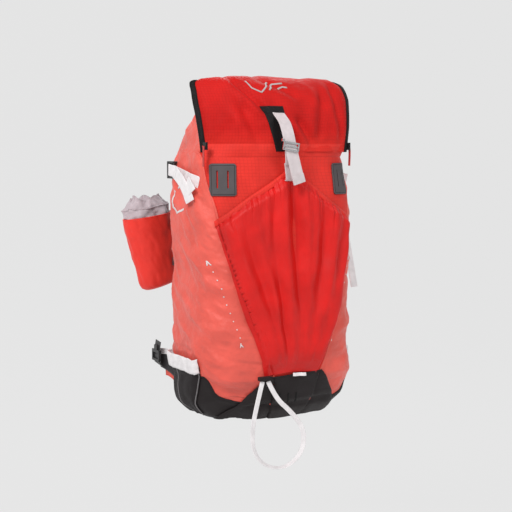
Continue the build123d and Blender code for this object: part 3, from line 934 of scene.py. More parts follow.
def hood_base(s, v):
    """A point of the smooth hood, s across from -1 to 1."""
    x = s * hood_half(v)
    bow = x * x / (2 * 0.258)
    if s < 0:
        wrap = float(np.interp(v, [0, 0.30, 0.50, 0.65, 0.72, 1], [0.030, 0.034, 0.028, 0.012, 0.004, 0.0]))
    else:
        wrap = float(np.interp(v, [0, 0.72, 1], [0.004, 0.0, 0.0]))
        wider = float(np.interp(v, [0, 0.15, 0.35, 0.5, 0.7, 1], [0.0, 0.03, 0.05, 0.04, 0.0, 0.0]))
        x *= 1 + wider * abs(s) ** 3
    wrap *= float(smoothstep(0.62, 1.0, abs(s)))
    if v <= HOOD_CREST:
        angle = v / HOOD_CREST * math.pi / 2
        power = 0.94
        y = -CREST_Y - (0.0865 - 0.9 * bow) * math.cos(angle) ** power + wrap
        z = -0.1075 + 0.1225 * math.sin(angle) ** power
    else:
        low = math.acos(0.462)
        angle = math.pi / 2 - (v - HOOD_CREST) / 0.28 * (math.pi / 2 - low)
        y = -CREST_Y + CREST_Y * math.cos(angle)
        z = -0.100 + 0.115 * math.sin(angle)
    corner = float(smoothstep(0.60, 1.0, abs(s))) * float(smoothstep(0.35, 0.7, v))
    return Vector((x, y, z - corner * (0.0065 if s < 0 else 0.0035)))


def crease(x, z, a, b, width, depth):
    """A straight fold from a to b, deepest in its middle."""
    ax, az = a
    bx, bz = b
    length = math.hypot(bx - ax, bz - az)
    t = ((x - ax) * (bx - ax) + (z - az) * (bz - az)) / length ** 2
    d = ((x - ax) * (bz - az) - (z - az) * (bx - ax)) / length
    fade = math.exp(-(max(0, abs(t - 0.5) - 0.35) / 0.16) ** 2)
    return depth * fade * (math.exp(-(d / width) ** 2) - 0.55 * math.exp(-((d - 2.1 * width) / width) ** 2))


# Folds of the hood: two ends as (x, z), half width, depth.
HOOD_FOLDS = [
    ((-0.076, 0.012), (-0.034, -0.044), 0.0060, -0.0072), ((-0.088, -0.058), (-0.110, -0.096), 0.0060, -0.0022),
    ((0.022, -0.052), (0.058, -0.112), 0.0080, -0.0082), ((0.082, -0.010), (0.060, -0.090), 0.0090, -0.0052),
    ((-0.074, -0.030), (-0.046, -0.104), 0.0085, -0.0055), ((0.104, 0.004), (0.112, -0.090), 0.0070, -0.0040),
    ((-0.030, 0.012), (0.030, -0.018), 0.0070, -0.0040), ((0.020, -0.100), (0.090, -0.092), 0.0060, -0.0034)]


def hood_lift(s, v):
    p = hood_base(s, v)
    fine = 0.75 - abs(fbm(p.x * 26, p.y * 26, p.z * 26, 2))
    value = 0.0042 * fbm(p.x * 10 + 4, p.y * 10, p.z * 12, 2) + 0.0020 * fine
    for a, b, width, depth in HOOD_FOLDS:
        value += crease(p.x, p.z, a, b, width, depth)
    value = max(value, -0.0078 + 0.0050 * float(smoothstep(0.45, 0.75, -s)))
    edge = float(smoothstep(0.90, 1.0, abs(s)))
    low = float(smoothstep(0.0, 0.10, v))
    return (value * (1 - edge) * (0.25 + 0.75 * low)) - 0.0022 * edge


def hood_point(s, v):
    p = hood_base(s, v)
    e = 1e-3
    along = hood_base(s, min(1, v + e)) - hood_base(s, max(0, v - e))
    across = hood_base(min(1, s + e), v) - hood_base(max(-1, s - e), v)
    n = along.cross(across).normalized()
    if n.dot(p - HOOD_MIDDLE) < 0:
        n = -n
    q = p + n * (hood_lift(s, v) - 0.0002)
    # Behind the crest the hood's sides come down towards the shell.
    q.z -= 0.0085 * float(smoothstep(0.50, 0.95, abs(s))) * float(smoothstep(0.66, 0.86, v))
    return tuple(q)


hood_rows = [[hood_point(2 * j / (HOOD_U - 1) - 1, i / (HOOD_V - 1)) for j in range(HOOD_U)] for i in range(HOOD_V)]
# The hood's cloth carries painted shade: a darker copy of the front's ripstop.
hood = grid("hood_cloth", hood_rows, "hood_red", 0.0020, -1.0, body="hood")
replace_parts(hood, "hood")
hood_tree = BVHTree.FromPolygons([p for row in hood_rows for p in row], quads(HOOD_V, HOOD_U))

# A sewn strip carries the hood's cloth on into the front panel and bends at the fold.
STRIP_STEPS, STRIP_HALF, STRIP_FOOT = 9, 0.1255, -0.1155


def strip_point(j, k):
    t = k / (STRIP_STEPS - 1)
    top = Vector(hood_rows[5][j])
    low = onto(float(np.clip(top.x, -STRIP_HALF, STRIP_HALF)), STRIP_FOOT)[0]
    bulge = 0.0006 + 0.0010 * math.sin(math.pi * t)
    return tuple(top.lerp(low, t) + Vector((0, -1, 0)) * bulge * (1 if 0 < k < STRIP_STEPS - 1 else 0.2))


rows = [[strip_point(j, k) for j in range(0, HOOD_U, 2)] for k in range(STRIP_STEPS)]
strip = grid("hood_hinge_strip", rows, "ripstop", body=None)
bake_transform(strip)
trims = []
for name, j0, sign, wide, reach in (("left", 0, 1, 0.0022, 3), ("right", HOOD_U - 1, -1, 0.0018, 2)):
    trimmed = hood_rows[:int(HOOD_V * 0.80)]
    edge = [Vector(row[j0]) for row in trimmed]
    outer = Vector((-sign, 0, 0))
    tape_rows = []
    for row, rim_point in zip(trimmed, edge):
        inner, mid = Vector(row[j0 + sign * reach]), Vector(row[j0 + sign])
        push = (mid - HOOD_MIDDLE).normalized()
        tape_rows.append([tuple(p) for p in (inner + push * 0.0004, mid + push * 0.0016,
                                             rim_point + push * 0.0010 + outer * 0.0012,
                                             rim_point - push * 0.0035 + outer * 0.0008)])
    trims.append(grid(f"hood_trim_tape_{name}", tape_rows, "trim", 0.0010, 0.0, body="hood"))
    trims.append(roll(f"hood_trim_cord_{name}", [p + Vector((-sign * 0.0008, 0, 0)) for p in edge], wide * 0.72,
                      "trim", body="hood"))
    coil = [p + Vector((-sign * (0.0024 + 0.0003 * (k % 2)), 0, 0)) for k, p in enumerate(edge)]
    trims.append(roll(f"hood_zip_coil_{name}", coil, 0.0009, "trim", body="hood"))
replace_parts(trims[0], "hood_zip_trims")


def hood_patch_point(u, v):
    left, right = -0.0225 - 0.0180 * v, 0.0030 - 0.0065 * v
    return left + (right - left) * u, -0.1065 + 0.0715 * v


def hood_patch_height(u, v):
    return 0.0006 + 0.0010 * float(smoothstep(0, 0.08, min(u, 1 - u, v * 2, (1 - v) * 2)))


rows = front_grid(hood_patch_point, 26, 60, hood_patch_height, hood_tree)
patch = grid("hood_patch_cloth", rows, "trim", 0.0008, 0.0, body="hood")
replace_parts(patch, "hood_patch")


# ---- closure strap: stands off the hood in an arch and hangs past the fold -----------------
# Each webbing: its node if it replaces one, its body, points, steps between them, width and thickness.
CLOSURE = {
    "strap_web": ("closure_strap", "closure_strap", [
        (-0.0140, -0.1690, -0.0455), (-0.0140, -0.1765, -0.0505), (-0.0132, -0.1900, -0.0620),
        (-0.0120, -0.1985, -0.0790), (-0.0095, -0.2010, -0.0960), (-0.0030, -0.2005, -0.1200),
        (0.0075, -0.2000, -0.1565)], 9, 0.021, 0.0018),
    "strap_hem": (None, "closure_strap", [
        (0.0035, -0.2021, -0.1430), (0.0055, -0.2023, -0.1500), (0.0075, -0.2020, -0.1565)], 5, 0.021, 0.0016),
    "strap_tack": (None, "closure_strap", [
        (-0.0140, -0.1672, -0.0455), (-0.0140, -0.1712, -0.0505)], 3, 0.020, 0.0012),
    "anchor_web": ("closure_anchor", "pack", [
        (-0.002, -0.1800, -0.1500), (-0.002, -0.1880, -0.1520), (-0.003, -0.1912, -0.1450),
        (-0.0055, -0.1908, -0.1235)], 8, 0.0185, 0.0018),
    "loop_web": (None, "closure_strap", [
        (-0.0055, -0.1945, -0.1260), (-0.0070, -0.1975, -0.1180), (-0.0085, -0.1990, -0.1080),
        (-0.0095, -0.2005, -0.1010)], 6, 0.0185, 0.0016)}
# The closure strap's pieces use the white webbing darkened as painted shade.
for name, (node, body, points, steps, width, thickness) in CLOSURE.items():
    web = tape(f"closure_{name}", smooth_line(points, steps), X_AXIS, width, thickness, "strap_web", body)
    if node:
        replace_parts(web, node)


# ---- patches on the front ---------------------------------------------------------------
def cut_sheet(name, place, nx, nz, keep, material, thickness, body="pack"):
    """A thin sheet over a grid of cells, of which keep(u, v) tells which stay."""
    points = [[place(j / nx, i / nz) for j in range(nx + 1)] for i in range(nz + 1)]
    used, verts, uvs, faces = {}, [], [], []
    for i in range(nz):
        for j in range(nx):
            if not keep((j + 0.5) / nx, (i + 0.5) / nz):
                continue
            face = []
            for a, b in ((i, j), (i, j + 1), (i + 1, j + 1), (i + 1, j)):
                if (a, b) not in used:
                    used[a, b] = len(verts)
                    verts.append(points[a][b])
                    uvs.append((points[a][b][0], points[a][b][2]))
                face.append(used[a, b])
            faces.append(face)
    obj = mesh_object(name, verts, faces, material, uvs)
    thicken(obj, thickness, 0)
    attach(obj, body)
    return obj


# Lash patch: x and z limits, where its slots stand, half their width, their ends, the corners' radius.
PATCH = (0.0865, 0.1205, -0.1760, -0.1255)
SLOTS, SLOT_HALF, SLOT_LOW, SLOT_HIGH = (0.0980, 0.1115), 0.0010, -0.1640, -0.1365
PATCH_ROUND = 0.004
patches = []
for name, sign in SIDES:
    x0, x1, z0, z1 = PATCH
    wide, tall = x1 - x0, z1 - z0

    def place(u, v, sign=sign):
        p, n = onto(sign * (x0 + wide * u), z0 + tall * v)
        rim = min(u * wide, (1 - u) * wide, v * tall, (1 - v) * tall)
        return tuple(p + n * (0.0012 + 0.0004 * float(smoothstep(0.0, 0.002, rim))))

    def keep(u, v):
        x, z = x0 + wide * u, z0 + tall * v
        if SLOT_LOW < z < SLOT_HIGH and any(abs(x - s) < SLOT_HALF for s in SLOTS):
            return False
        cx, cz, r = min(x - x0, x1 - x), min(z - z0, z1 - z), PATCH_ROUND
        return cx > r or cz > r or math.hypot(r - cx, r - cz) < r

    patches.append(cut_sheet(f"lash_patch_{name}", place, 68, 84, keep, "rubber", 0.0016))
    xs, zs = np.linspace(x0 + 0.0025, x1 - 0.0025, 18), np.linspace(z0 + 0.0025, z1 - 0.0025, 24)
    stitches = ([(xs[0], z) for z in zs] + [(x, zs[-1]) for x in xs] + [(xs[-1], z) for z in zs[::-1]]
                + [(x, zs[0]) for x in xs[::-1]])
    roll(f"lash_stitch_{name}", laid([(sign * x, z) for x, z in stitches], 0.0022), 0.0004, "trim")
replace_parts(patches[0], "lash_patches")

# Distance of the front base patch's edges from the middle, at each height.
BASE_EDGE = {-1: [(-0.541, 0.094), (-0.531, 0.086), (-0.519, 0.0720), (-0.496, 0.0590), (-0.4665, 0.0400)],
             1: [(-0.541, 0.108), (-0.520, 0.104), (-0.5045, 0.0960), (-0.476, 0.0765), (-0.4600, 0.0630)]}


BASE_FOOT, BASE_TALL = -0.541, 0.0735


def base_point(u, v):
    z = BASE_FOOT + (BASE_TALL + 0.006 * u) * v
    left, right = -along_z(BASE_EDGE[-1], z), along_z(BASE_EDGE[1], z)
    return float(left + (right - left) * u), float(z)


def base_height(u, v):
    rim = min(u, 1 - u) * 0.13
    top = (1 - v) * 0.075
    roll_over = float(smoothstep(0.0, 0.004, min(rim, top)))
    fold = 0.0022 * fbm(u * 3.2, v * 1.7, 9.0, 2) - 0.0022 * math.exp(-((v - 0.30 - 0.10 * u) / 0.07) ** 2)
    return 0.0022 + 0.0012 * roll_over + fold * min(1.0, rim / 0.012)


base = grid("base_patch_cloth", front_grid(base_point, 110, 60, base_height), "boot", 0.0014, 0.0)
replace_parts(base, "base_patch")
base_tree = BVHTree.FromPolygons([tuple(v.co) for v in base.data.vertices],
                                 [tuple(p.vertices) for p in base.data.polygons])
# The slits are near-black rods of painted shade laid on the base patch.
for k, x in enumerate((-0.010, 0.005, 0.020)):
    places = [(x + 0.0035 * t, -0.497 - 0.0165 * t) for t in np.linspace(0, 1, 12)]
    roll(f"base_slit_{k + 1}", laid(places, 0.0009, base_tree), 0.0013, "void")
places = [base_point(t, 0.985) for t in np.linspace(0, 1, 60)]
roll("base_patch_piping", laid(places, 0.0006, base_tree), 0.0011, "boot")

tag = []
for t in np.linspace(0, 1, 16):
    p, n = onto(0.006 + 0.024 * t, -0.4625 - 0.001 * t)
    tag.append(p + n * (0.0085 + 0.0006 * math.sin(t * 9)))
tape("care_tag", tag, Vector((0, 0.25, 1)), 0.0055, 0.0007, "white_web")

# ---- side pockets -------------------------------------------------------------------------
# Front and rear edges of the side pockets, and their heights.
POCKET_FRONT = [(-0.536, -0.088), (-0.5107, -0.099), (-0.4895, -0.1075), (-0.461, -0.1190), (-0.437, -0.1225)]
POCKET_REAR = [(-0.536, -0.034), (-0.500, -0.026), (-0.460, -0.018), (-0.437, -0.016)]


SIDE_FOOT, SIDE_CLOTH_TOP, BAND_FOOT, BAND_TOP = -0.536, -0.452, -0.4605, -0.4370


def side_point(side_name, u, v, low, high, height):
    z = low + (high - low) * v
    y = along_z(POCKET_REAR, z) + (along_z(POCKET_FRONT, z) - along_z(POCKET_REAR, z)) * u
    p, n = onto(None, float(z), side_name, float(y))
    return p + n * height(u, v)


def pocket_bulge(u, v):
    edge = float(smoothstep(0.0, 0.12, min(u, 1 - u)))
    fold = 0.0026 * fbm(u * 3.0 + 5, v * 2.2, 2.0, 2) - 0.0014 * math.exp(-((u - 0.42 - 0.25 * v) / 0.09) ** 2) * v
    return 0.0018 + (0.0060 * float(smoothstep(0.0, 0.5, v)) + fold) * edge


def band_height(u, v):
    edge = float(smoothstep(0.0, 0.05, min(u, 1 - u)))
    ripple = 0.0002 * math.sin(u * 60 + 2 * math.sin(u * 9)) * math.sin(v * math.pi)
    roll_over = float(smoothstep(0.0, 0.12, min(v, 1 - v)))
    return 0.0022 + (0.0070 * edge) + 0.0012 * roll_over + ripple


bands, pockets = [], []
for name, _ in SIDES:
    rows = rows_of(55, 45, lambda u, v: side_point(name, u, v, SIDE_FOOT, SIDE_CLOTH_TOP, pocket_bulge))
    pockets.append(grid(f"side_pocket_cloth_{name}", rows, "stretch", 0.0012, 0.0))
    rows = rows_of(61, 15, lambda u, v: side_point(name, u, v, BAND_FOOT, BAND_TOP, band_height))
    bands.append(grid(f"side_pocket_band_{name}", rows, "white_web", 0.0014, 0.0))
    for tag_name, u, drift in (("front", 0.985, 0.0), ("rear", 0.40, 0.10)):
        line = [side_point(name, u + drift * t, 1 - t, SIDE_FOOT, -0.461,
                           lambda a, b: pocket_bulge(min(a, 0.999), b) + 0.0008) for t in np.linspace(0, 1, 40)]
        roll(f"side_pocket_piping_{tag_name}_{name}", line, 0.0010, "stretch_grey")
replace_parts(pockets[0], "side_pocket_left")
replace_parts(pockets[1], "side_pocket_right")
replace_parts(bands[0], "side_pocket_elastics")

# ---- compression straps ---------------------------------------------------------------------
def side_tape(side_name, places):
    """Compression strap along a side. places are (y, z, stand-off) from back to front."""
    outward = Vector((dict(SIDES)[side_name], 0, 0))
    line = [onto(None, float(p.y), side_name, float(p.x))[0] + outward * (p.z + 0.0014)
            for p in smooth_line(places, 8)]
    return tape(f"compression_strap_{side_name}", line, Vector(Z_AXIS), 0.019, 0.0015, "white_web")


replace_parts(side_tape("left", [(-0.034, -0.136, 0.006), (-0.055, -0.139, 0.0035), (-0.080, -0.145, 0.002),
                               (-0.106, -0.152, 0.001), (-0.118, -0.156, -0.001)]), "compression_straps")
side_tape("right", [(-0.034, -0.146, 0.006), (-0.055, -0.149, 0.0035), (-0.080, -0.152, 0.002),
                    (-0.106, -0.155, 0.001), (-0.116, -0.157, -0.001)])
# Loose ends: points, steps between them, direction across, width and thickness.
TAILS = {
    "tail_left": ([(-0.1430, -0.052, -0.139), (-0.1480, -0.074, -0.144), (-0.1470, -0.092, -0.156),
                   (-0.1450, -0.106, -0.172), (-0.1420, -0.112, -0.186)], 8, (0.10, -0.45, 0.75), 0.020, 0.0015),
    "tail_left_fold": ([(-0.1435, -0.104, -0.153), (-0.1440, -0.112, -0.160), (-0.1415, -0.119, -0.170)],
                       6, (0.10, -0.30, 0.85), 0.018, 0.0013),
    "tail_right": ([(0.1440, -0.046, -0.146), (0.1485, -0.062, -0.156), (0.1500, -0.078, -0.185),
                    (0.1530, -0.092, -0.225), (0.1580, -0.104, -0.280), (0.1620, -0.116, -0.337)],
                   9, (0.93, 0.36, 0.03), 0.0175, 0.0015),
    "stub_right": ([(0.1400, -0.088, -0.150), (0.1500, -0.094, -0.1515), (0.1565, -0.098, -0.153)],
                   6, Z_AXIS, 0.017, 0.0014)}
loose_ends = {name: tape(f"compression_{name}", smooth_line(points, steps), across, width, thickness, "white_web")
              for name, (points, steps, across, width, thickness) in TAILS.items()}
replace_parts(loose_ends["tail_left"], "compression_tails")


def frame_bar(name, parts_list, material, body="pack", bevel=0.0006):
    """Moulded piece from rounded boxes: (centre, half sizes)."""
    bm = bmesh.new()
    for centre, half in parts_list:
        made = bmesh.ops.create_cube(bm, size=2.0)
        for v in made["verts"]:
            v.co = Vector((v.co.x * half[0], v.co.y * half[1], v.co.z * half[2])) + Vector(centre)
    bmesh.ops.bevel(bm, geom=list(bm.edges), offset=bevel, segments=2, profile=0.7, affect="EDGES")
    mesh = bpy.data.meshes.new(name)
    bm.to_mesh(mesh)
    bm.free()
    mesh.uv_layers.new(name="UVMap")
    mesh.materials.append(M[material])
    obj = link_object(name, mesh)
    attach(obj, body)
    return obj


locks = []
for name, sign, z in (("left", -1, -0.1365), ("right", 1, -0.1465)):
    x = 0.1400 * sign
    y = -0.036
    locks.append(frame_bar(f"ladder_lock_{name}", [
        ((x, y - 0.0115, z), (0.0026, 0.0022, 0.0140)), ((x, y, z), (0.0022, 0.0018, 0.0125)),
        ((x, y + 0.0125, z), (0.0030, 0.0030, 0.0140)), ((x, y, z + 0.0125), (0.0026, 0.0150, 0.0017)),
        ((x, y, z - 0.0125), (0.0026, 0.0150, 0.0017))], "plastic"))
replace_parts(locks[0], "ladder_locks")

# ---- bottle pouch -----------------------------------------------------------------------------
lean = math.radians(9)
POUCH = Vector((-0.106, 0.108, -0.345))
UP = Vector((-math.sin(lean), 0, math.cos(lean)))
OUT = Vector((math.cos(lean), 0, math.sin(lean)))
DEEP = Vector((0, 1, 0))


POUCH_TALL = 0.128


def pouch_point(angle, h, grow=0.0):
    """A point h metres up the pouch from its floor."""
    t = h / POUCH_TALL
    taper = 0.82 + 0.18 * float(smoothstep(0.0, 0.85, t))
    fold = 0.0018 * fbm(math.cos(angle) * 1.6, math.sin(angle) * 1.6, h * 22, 3) \
        + 0.0020 * (0.7 - abs(fbm(math.cos(angle) * 2.2 + h * 12, math.sin(angle) * 2.2, h * 30, 2)))
    lowest = max(0.0, 1 - h / 0.016)
    drop = 1 - 0.22 * (1 - math.sqrt(max(0.0, 1 - lowest ** 2)))
    a, b = (0.0432 + fold + grow) * taper * drop, (0.0284 + fold + grow) * taper * drop
    sag = 0.004 * math.cos(angle) * (1 - t)
    return (POUCH + OUT * (a * math.cos(angle) + 0.0045 * (1 - t)) + DEEP * (b * math.sin(angle))
            + UP * (h + 0.004 + sag))


rows = [[tuple(pouch_point(a, 0.124 * i / 44)) for a in circle(96)] for i in range(45)]
# The pouch's cloth, floor and hem carry painted light: a brighter copy of the smooth red.
pouch = grid("bottle_pouch_cloth", rows, "pouch_red", 0.0016, -1.0, closed=True, flip=True)
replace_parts(pouch, "bottle_pouch")
rows = [[tuple(POUCH + UP * 0.0045 * (1 - s) + (pouch_point(a, 0.0) - POUCH) * (1 - 0.995 * s)) for a in circle(96)]
        for s in np.linspace(0, 1, 9).tolist()]
grid("bottle_pouch_floor", rows, "pouch_red", closed=True)
line = [pouch_point(a, 0.1235, 0.0006) for a in circle(96, ends_meet=True)]
roll("bottle_pouch_hem", line, 0.0014, "pouch_red")


def collar_point(angle, t):
    """Crumpled drawstring collar: t 0 at the pouch's hem, 1 at its gathered mouth."""
    c, s = math.cos(angle), math.sin(angle)
    gather = float(smoothstep(0.45, 1.0, t))
    pleat = 0.0022 * math.sin(angle * 9 + 2.5 * math.sin(angle * 2)) * (0.2 + 0.8 * t) \
        + 0.0058 * fbm(c * 1.9, s * 1.9, t * 1.8, 2) + 0.0040 * (0.7 - abs(fbm(c * 2.4 + 3, s * 2.4, t * 2.4, 1)))
    spike = math.exp(-((angle - 3.55) / 0.26) ** 2)
    inward = 1 - 0.10 * t - 0.26 * gather
    rise = 0.0330 * t + 0.0035 * math.sin(angle * 5 + 1) * t * t + 0.0085 * spike * t * t
    a, b = (0.0405 + pleat) * inward, (0.0262 + pleat) * inward
    return POUCH + OUT * (a * c) + DEEP * (b * s) + UP * (0.1265 + rise)


rows = [[tuple(collar_point(a, i / 30)) for a in circle(200)] for i in range(31)]
top_row = rows[-1]
for share, fall in ((0.90, 0.0015), (0.72, 0.0050), (0.50, 0.0090), (0.26, 0.0120), (0.04, 0.0130)):
    centre = POUCH + UP * 0.1580
    rows.append([tuple(centre + (Vector(p) - centre) * share - UP * (fall + 0.0018 * fbm(j * 0.21, share * 9, 1.0, 2)))
                 for j, p in enumerate(top_row)])
collar = grid("pouch_collar_cloth", rows, "silver", closed=True, flip=True)
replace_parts(collar, "pouch_collar")
line = [p + (p - (POUCH + UP * 0.145)).normalized() * 0.0007
        for p in (collar_point(a, 0.52) for a in circle(120, ends_meet=True))]
roll("pouch_drawcord", line, 0.0011, "silver")

# ---- plain printed marks: simple strokes and dashes, no lettering --------------------------------
def mark(name, strokes, side_name, width, body="pack", tree=None, material="print", height=0.0005):
    """Printed strokes lying on the cloth. Each stroke is a list of places: (y, z) on a side, (x, z) on the front."""
    verts, faces = [], []
    for stroke in strokes:
        pts = []
        for a, b in zip(stroke, stroke[1:]):
            steps = max(2, int(math.hypot(b[0] - a[0], b[1] - a[1]) / 0.0022))
            pts += [(a[0] + (b[0] - a[0]) * k / steps, a[1] + (b[1] - a[1]) * k / steps) for k in range(steps)]
        pts.append(stroke[-1])
        start = len(verts)
        for k, (a, z) in enumerate(pts):
            before, after = pts[max(k - 1, 0)], pts[min(k + 1, len(pts) - 1)]
            da, dz = after[0] - before[0], after[1] - before[1]
            size = math.hypot(da, dz) or 1
            for sign in (-1, 1):
                aa, zz = a - dz / size * width / 2 * sign, z + da / size * width / 2 * sign
                if side_name == "front":
                    p, n = onto(aa, zz, tree=tree)
                else:
                    p, n = onto(None, zz, side_name, aa, tree=tree)
                verts.append(tuple(p + n * height))
        for k in range(len(pts) - 1):
            q = start + 2 * k
            faces.append((q, q + 1, q + 3, q + 2))
    obj = mesh_object(name, verts, faces, material, [(v[1], v[2]) for v in verts])
    thicken(obj, 0.0003, 0)
    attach(obj, body)
    return obj


for name, _ in SIDES:
    mark(f"side_bracket_{name}", [[(-0.052, -0.170), (-0.043, -0.182), (-0.046, -0.197), (-0.060, -0.206)],
                                  [(-0.060, -0.206), (-0.086, -0.199)], [(-0.058, -0.166), (-0.070, -0.162)]],
         name, 0.0038)
dashes = []
for k in range(11):
    t = k / 10
    x, z = -0.1235 + 0.0435 * t, -0.283 - 0.130 * t
    long = 0.0046 if k in (0, 10) else 0.0011
    dashes.append([(x - long * 0.5, z + long * (0.9 if k != 10 else 0.5)), (x + long * 0.5, z - long * 0.5)])
    if k in (0, 10):
        dashes.append([(x - long * 0.5, z + long), (x - long * 0.4, z - long * 0.7)])
mark("side_dashes_left", dashes, "front", 0.0015)
mark("side_dashes_right", [[(-a, b) for a, b in s] for s in dashes], "front", 0.0015)
mark("hood_mark", [[(-0.052, 0.0055), (-0.047, -0.006), (-0.034, -0.013)],
                   [(-0.034, -0.013), (-0.024, -0.004), (-0.012, 0.004)],
                   [(-0.020, -0.009), (-0.006, 0.001), (0.012, 0.003)],
                   [(0.000, -0.007), (0.010, -0.003), (0.018, -0.004)]],
     "front", 0.0024, body="hood", tree=hood_tree, material="print_grey")

# ---- closure hook: a two-bar steel buckle on the strap ------------------------------------------
HOOK = Vector((-0.0095, -0.2035, -0.0985))
hook = frame_bar("hook_visual", [
    ((0, 0, 0.0058), (0.0140, 0.0013, 0.0013)), ((0, 0, -0.0058), (0.0140, 0.0013, 0.0013)),
    ((0, 0.0006, 0.0), (0.0130, 0.0009, 0.0011)), ((-0.0132, 0, 0), (0.0012, 0.0013, 0.0070)),
    ((0.0132, 0, 0), (0.0012, 0.0013, 0.0070)), ((-0.0158, -0.0006, 0.0078), (0.0022, 0.0022, 0.0022))],
    "steel", body="closure_strap", bevel=0.0007)
tilt = math.radians(9)
for v in hook.data.vertices:
    x, z = v.co.x, v.co.z
    v.co = HOOK + Vector((x * math.cos(tilt) + z * math.sin(tilt), v.co.y, -x * math.sin(tilt) + z * math.cos(tilt)))
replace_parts(hook, "hook_buckle")

tab = frame_bar("axe_loop_tab_sewn", [((-0.0445, -0.1825, -0.4672), (0.0105, 0.0052, 0.0032))], "boot", bevel=0.0012)
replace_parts(tab, "axe_loop_tab")

# White edging along the top of each hip wing.
for name, sign in SIDES:
    line = smooth_line([(0.084 * sign, 0.0035, -0.4475), (0.112 * sign, 0.0040, -0.4465),
                        (0.127 * sign, 0.0180, -0.4465), (0.139 * sign, 0.0360, -0.4470)], 8)
    tape(f"hip_wing_edge_{name}", line, Vector((0, 0, 1)), 0.010, 0.0016, "white_web", body=f"hip_wing_{name}")

# Hip webbing and buckle halves, folded back at the ends of the wings.
for name, sign in SIDES:
    web = tape(f"hip_web_{name}", smooth_line([(0.1375 * sign, 0.031, -0.470), (0.1420 * sign, 0.028, -0.464),
                                               (0.1436 * sign, 0.026, -0.452), (0.1430 * sign, 0.025, -0.438),
                                               (0.1420 * sign, 0.024, -0.428)], 8), Vector((0, 1, 0)), 0.022, 0.0015,
               "black_web", body=f"hip_wing_{name}")
    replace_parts(web, f"hip_webbing_{name}")
    x = 0.1452 * sign
    half = frame_bar(f"hip_clasp_{name}", [((x, 0.0250, -0.4450), (0.0026, 0.0145, 0.0026)),
                                           ((x, 0.0250, -0.4600), (0.0026, 0.0145, 0.0022)),
                                           ((x, 0.0120, -0.4525), (0.0024, 0.0022, 0.0090)),
                                           ((x, 0.0380, -0.4525), (0.0024, 0.0022, 0.0090)),
                                           ((x, 0.0250, -0.4390), (0.0022, 0.0060, 0.0045))], "plastic",
                     body=f"hip_wing_{name}", bevel=0.0009)
    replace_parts(half, f"hip_buckle_{name}")

# ---- sewn webbing of the harness ------------------------------------------------------------
haul_half = [(-0.0200, 0.0055, -0.128), (-0.0200, 0.0058, -0.080), (-0.0195, 0.0062, -0.030),
             (-0.0110, 0.0058, -0.0015)]
haul_line = haul_half + [(0.0, 0.0055, 0.0018)] + [(-x, y, z) for x, y, z in reversed(haul_half)]
haul = tape("haul_loop_web", smooth_line(haul_line, 6), Y_AXIS, 0.012, 0.0022, "black_web")
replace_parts(haul, "haul_loop")
for name, sign in SIDES:
    tape(f"haul_loop_tab_{name}", [(sign * 0.019, 0.0032, z) for z in (-0.116, -0.124, -0.132, -0.140)],
         X_AXIS, 0.010, 0.0028, "black_web")
    x = sign * 0.055
    lower = tape(f"lower_web_{name}", smooth_line([(x, 0.0370, -0.373), (x, 0.0325, -0.386), (x, 0.0225, -0.401),
                                                   (x, 0.0150, -0.416), (x, 0.0085, -0.432)], 5),
                 X_AXIS, 0.018, 0.0018, "black_web")
    chest = tape(f"sternum_web_{name}", [(sign * t, 0.0851 + 0.0003 * math.sin(t * 400), -0.195)
                                         for t in (0.017, 0.022, 0.027, 0.0325, 0.038)],
                 Z_AXIS, 0.014, 0.0016, "black_web", body="sternum_strap")
    x = sign * 0.1327
    pull = tape(f"zip_pull_tape_{name}", smooth_line([(x, -0.1445, -0.098), (x + sign * 0.0006, -0.1448, -0.110),
                                                      (x + sign * 0.0003, -0.1442, -0.130)], 6),
                Y_AXIS, 0.006, 0.0014, "red_web", body=f"zip_pull_{name}")
    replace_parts(pull, f"zip_pull_{name}")
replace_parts(lower, "lower_webbings")
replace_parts(chest, "sternum_webbing")


def keeper(name, x0, x1, y0, y1, z, width):
    """A loop of webbing sewn round the shoulder strap's edge, closed on itself."""
    corner = 0.0035
    line = []
    for cx, cy, start in ((x1 - corner, y1 - corner, 0), (x0 + corner, y1 - corner, 90),
                          (x0 + corner, y0 + corner, 180), (x1 - corner, y0 + corner, 270)):
        for step in range(5):
            turn = math.radians(start + step * 22.5)
            line.append((cx + corner * math.cos(turn), cy + corner * math.sin(turn), z))
    line.append(line[0])
    return tape(name, line, Z_AXIS, width, 0.0018, "black_web")


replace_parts(keeper("pouch_keeper_top", -0.0885, -0.0655, 0.0735, 0.0905, -0.239, 0.014), "pouch_straps")
keeper("pouch_keeper_low", -0.0885, -0.0655, 0.0675, 0.0905, -0.299, 0.014)

# Red lining behind each hip wing, longer than the tapering pad.
WING_LINE = [(0.084, 0.0075), (0.100, 0.0082), (0.113, 0.0125), (0.122, 0.0215), (0.127, 0.0280)]
for name, sign in SIDES:
    def lining_point(u, v, sign=sign):
        t = u * (len(WING_LINE) - 1)
        x, y = (float(np.interp(t, range(len(WING_LINE)), values)) for values in zip(*WING_LINE))
        foot = -0.509 + 0.020 * float(smoothstep(0.104, 0.127, x))
        return sign * x, y + 0.0008 * math.sin(40 * x + 6 * v), -0.458 + (foot + 0.458) * v

    grid(f"hip_wing_lining_{name}", rows_of(21, 9, lining_point), "side_red", 0.0012, 0.0, body=f"hip_wing_{name}")


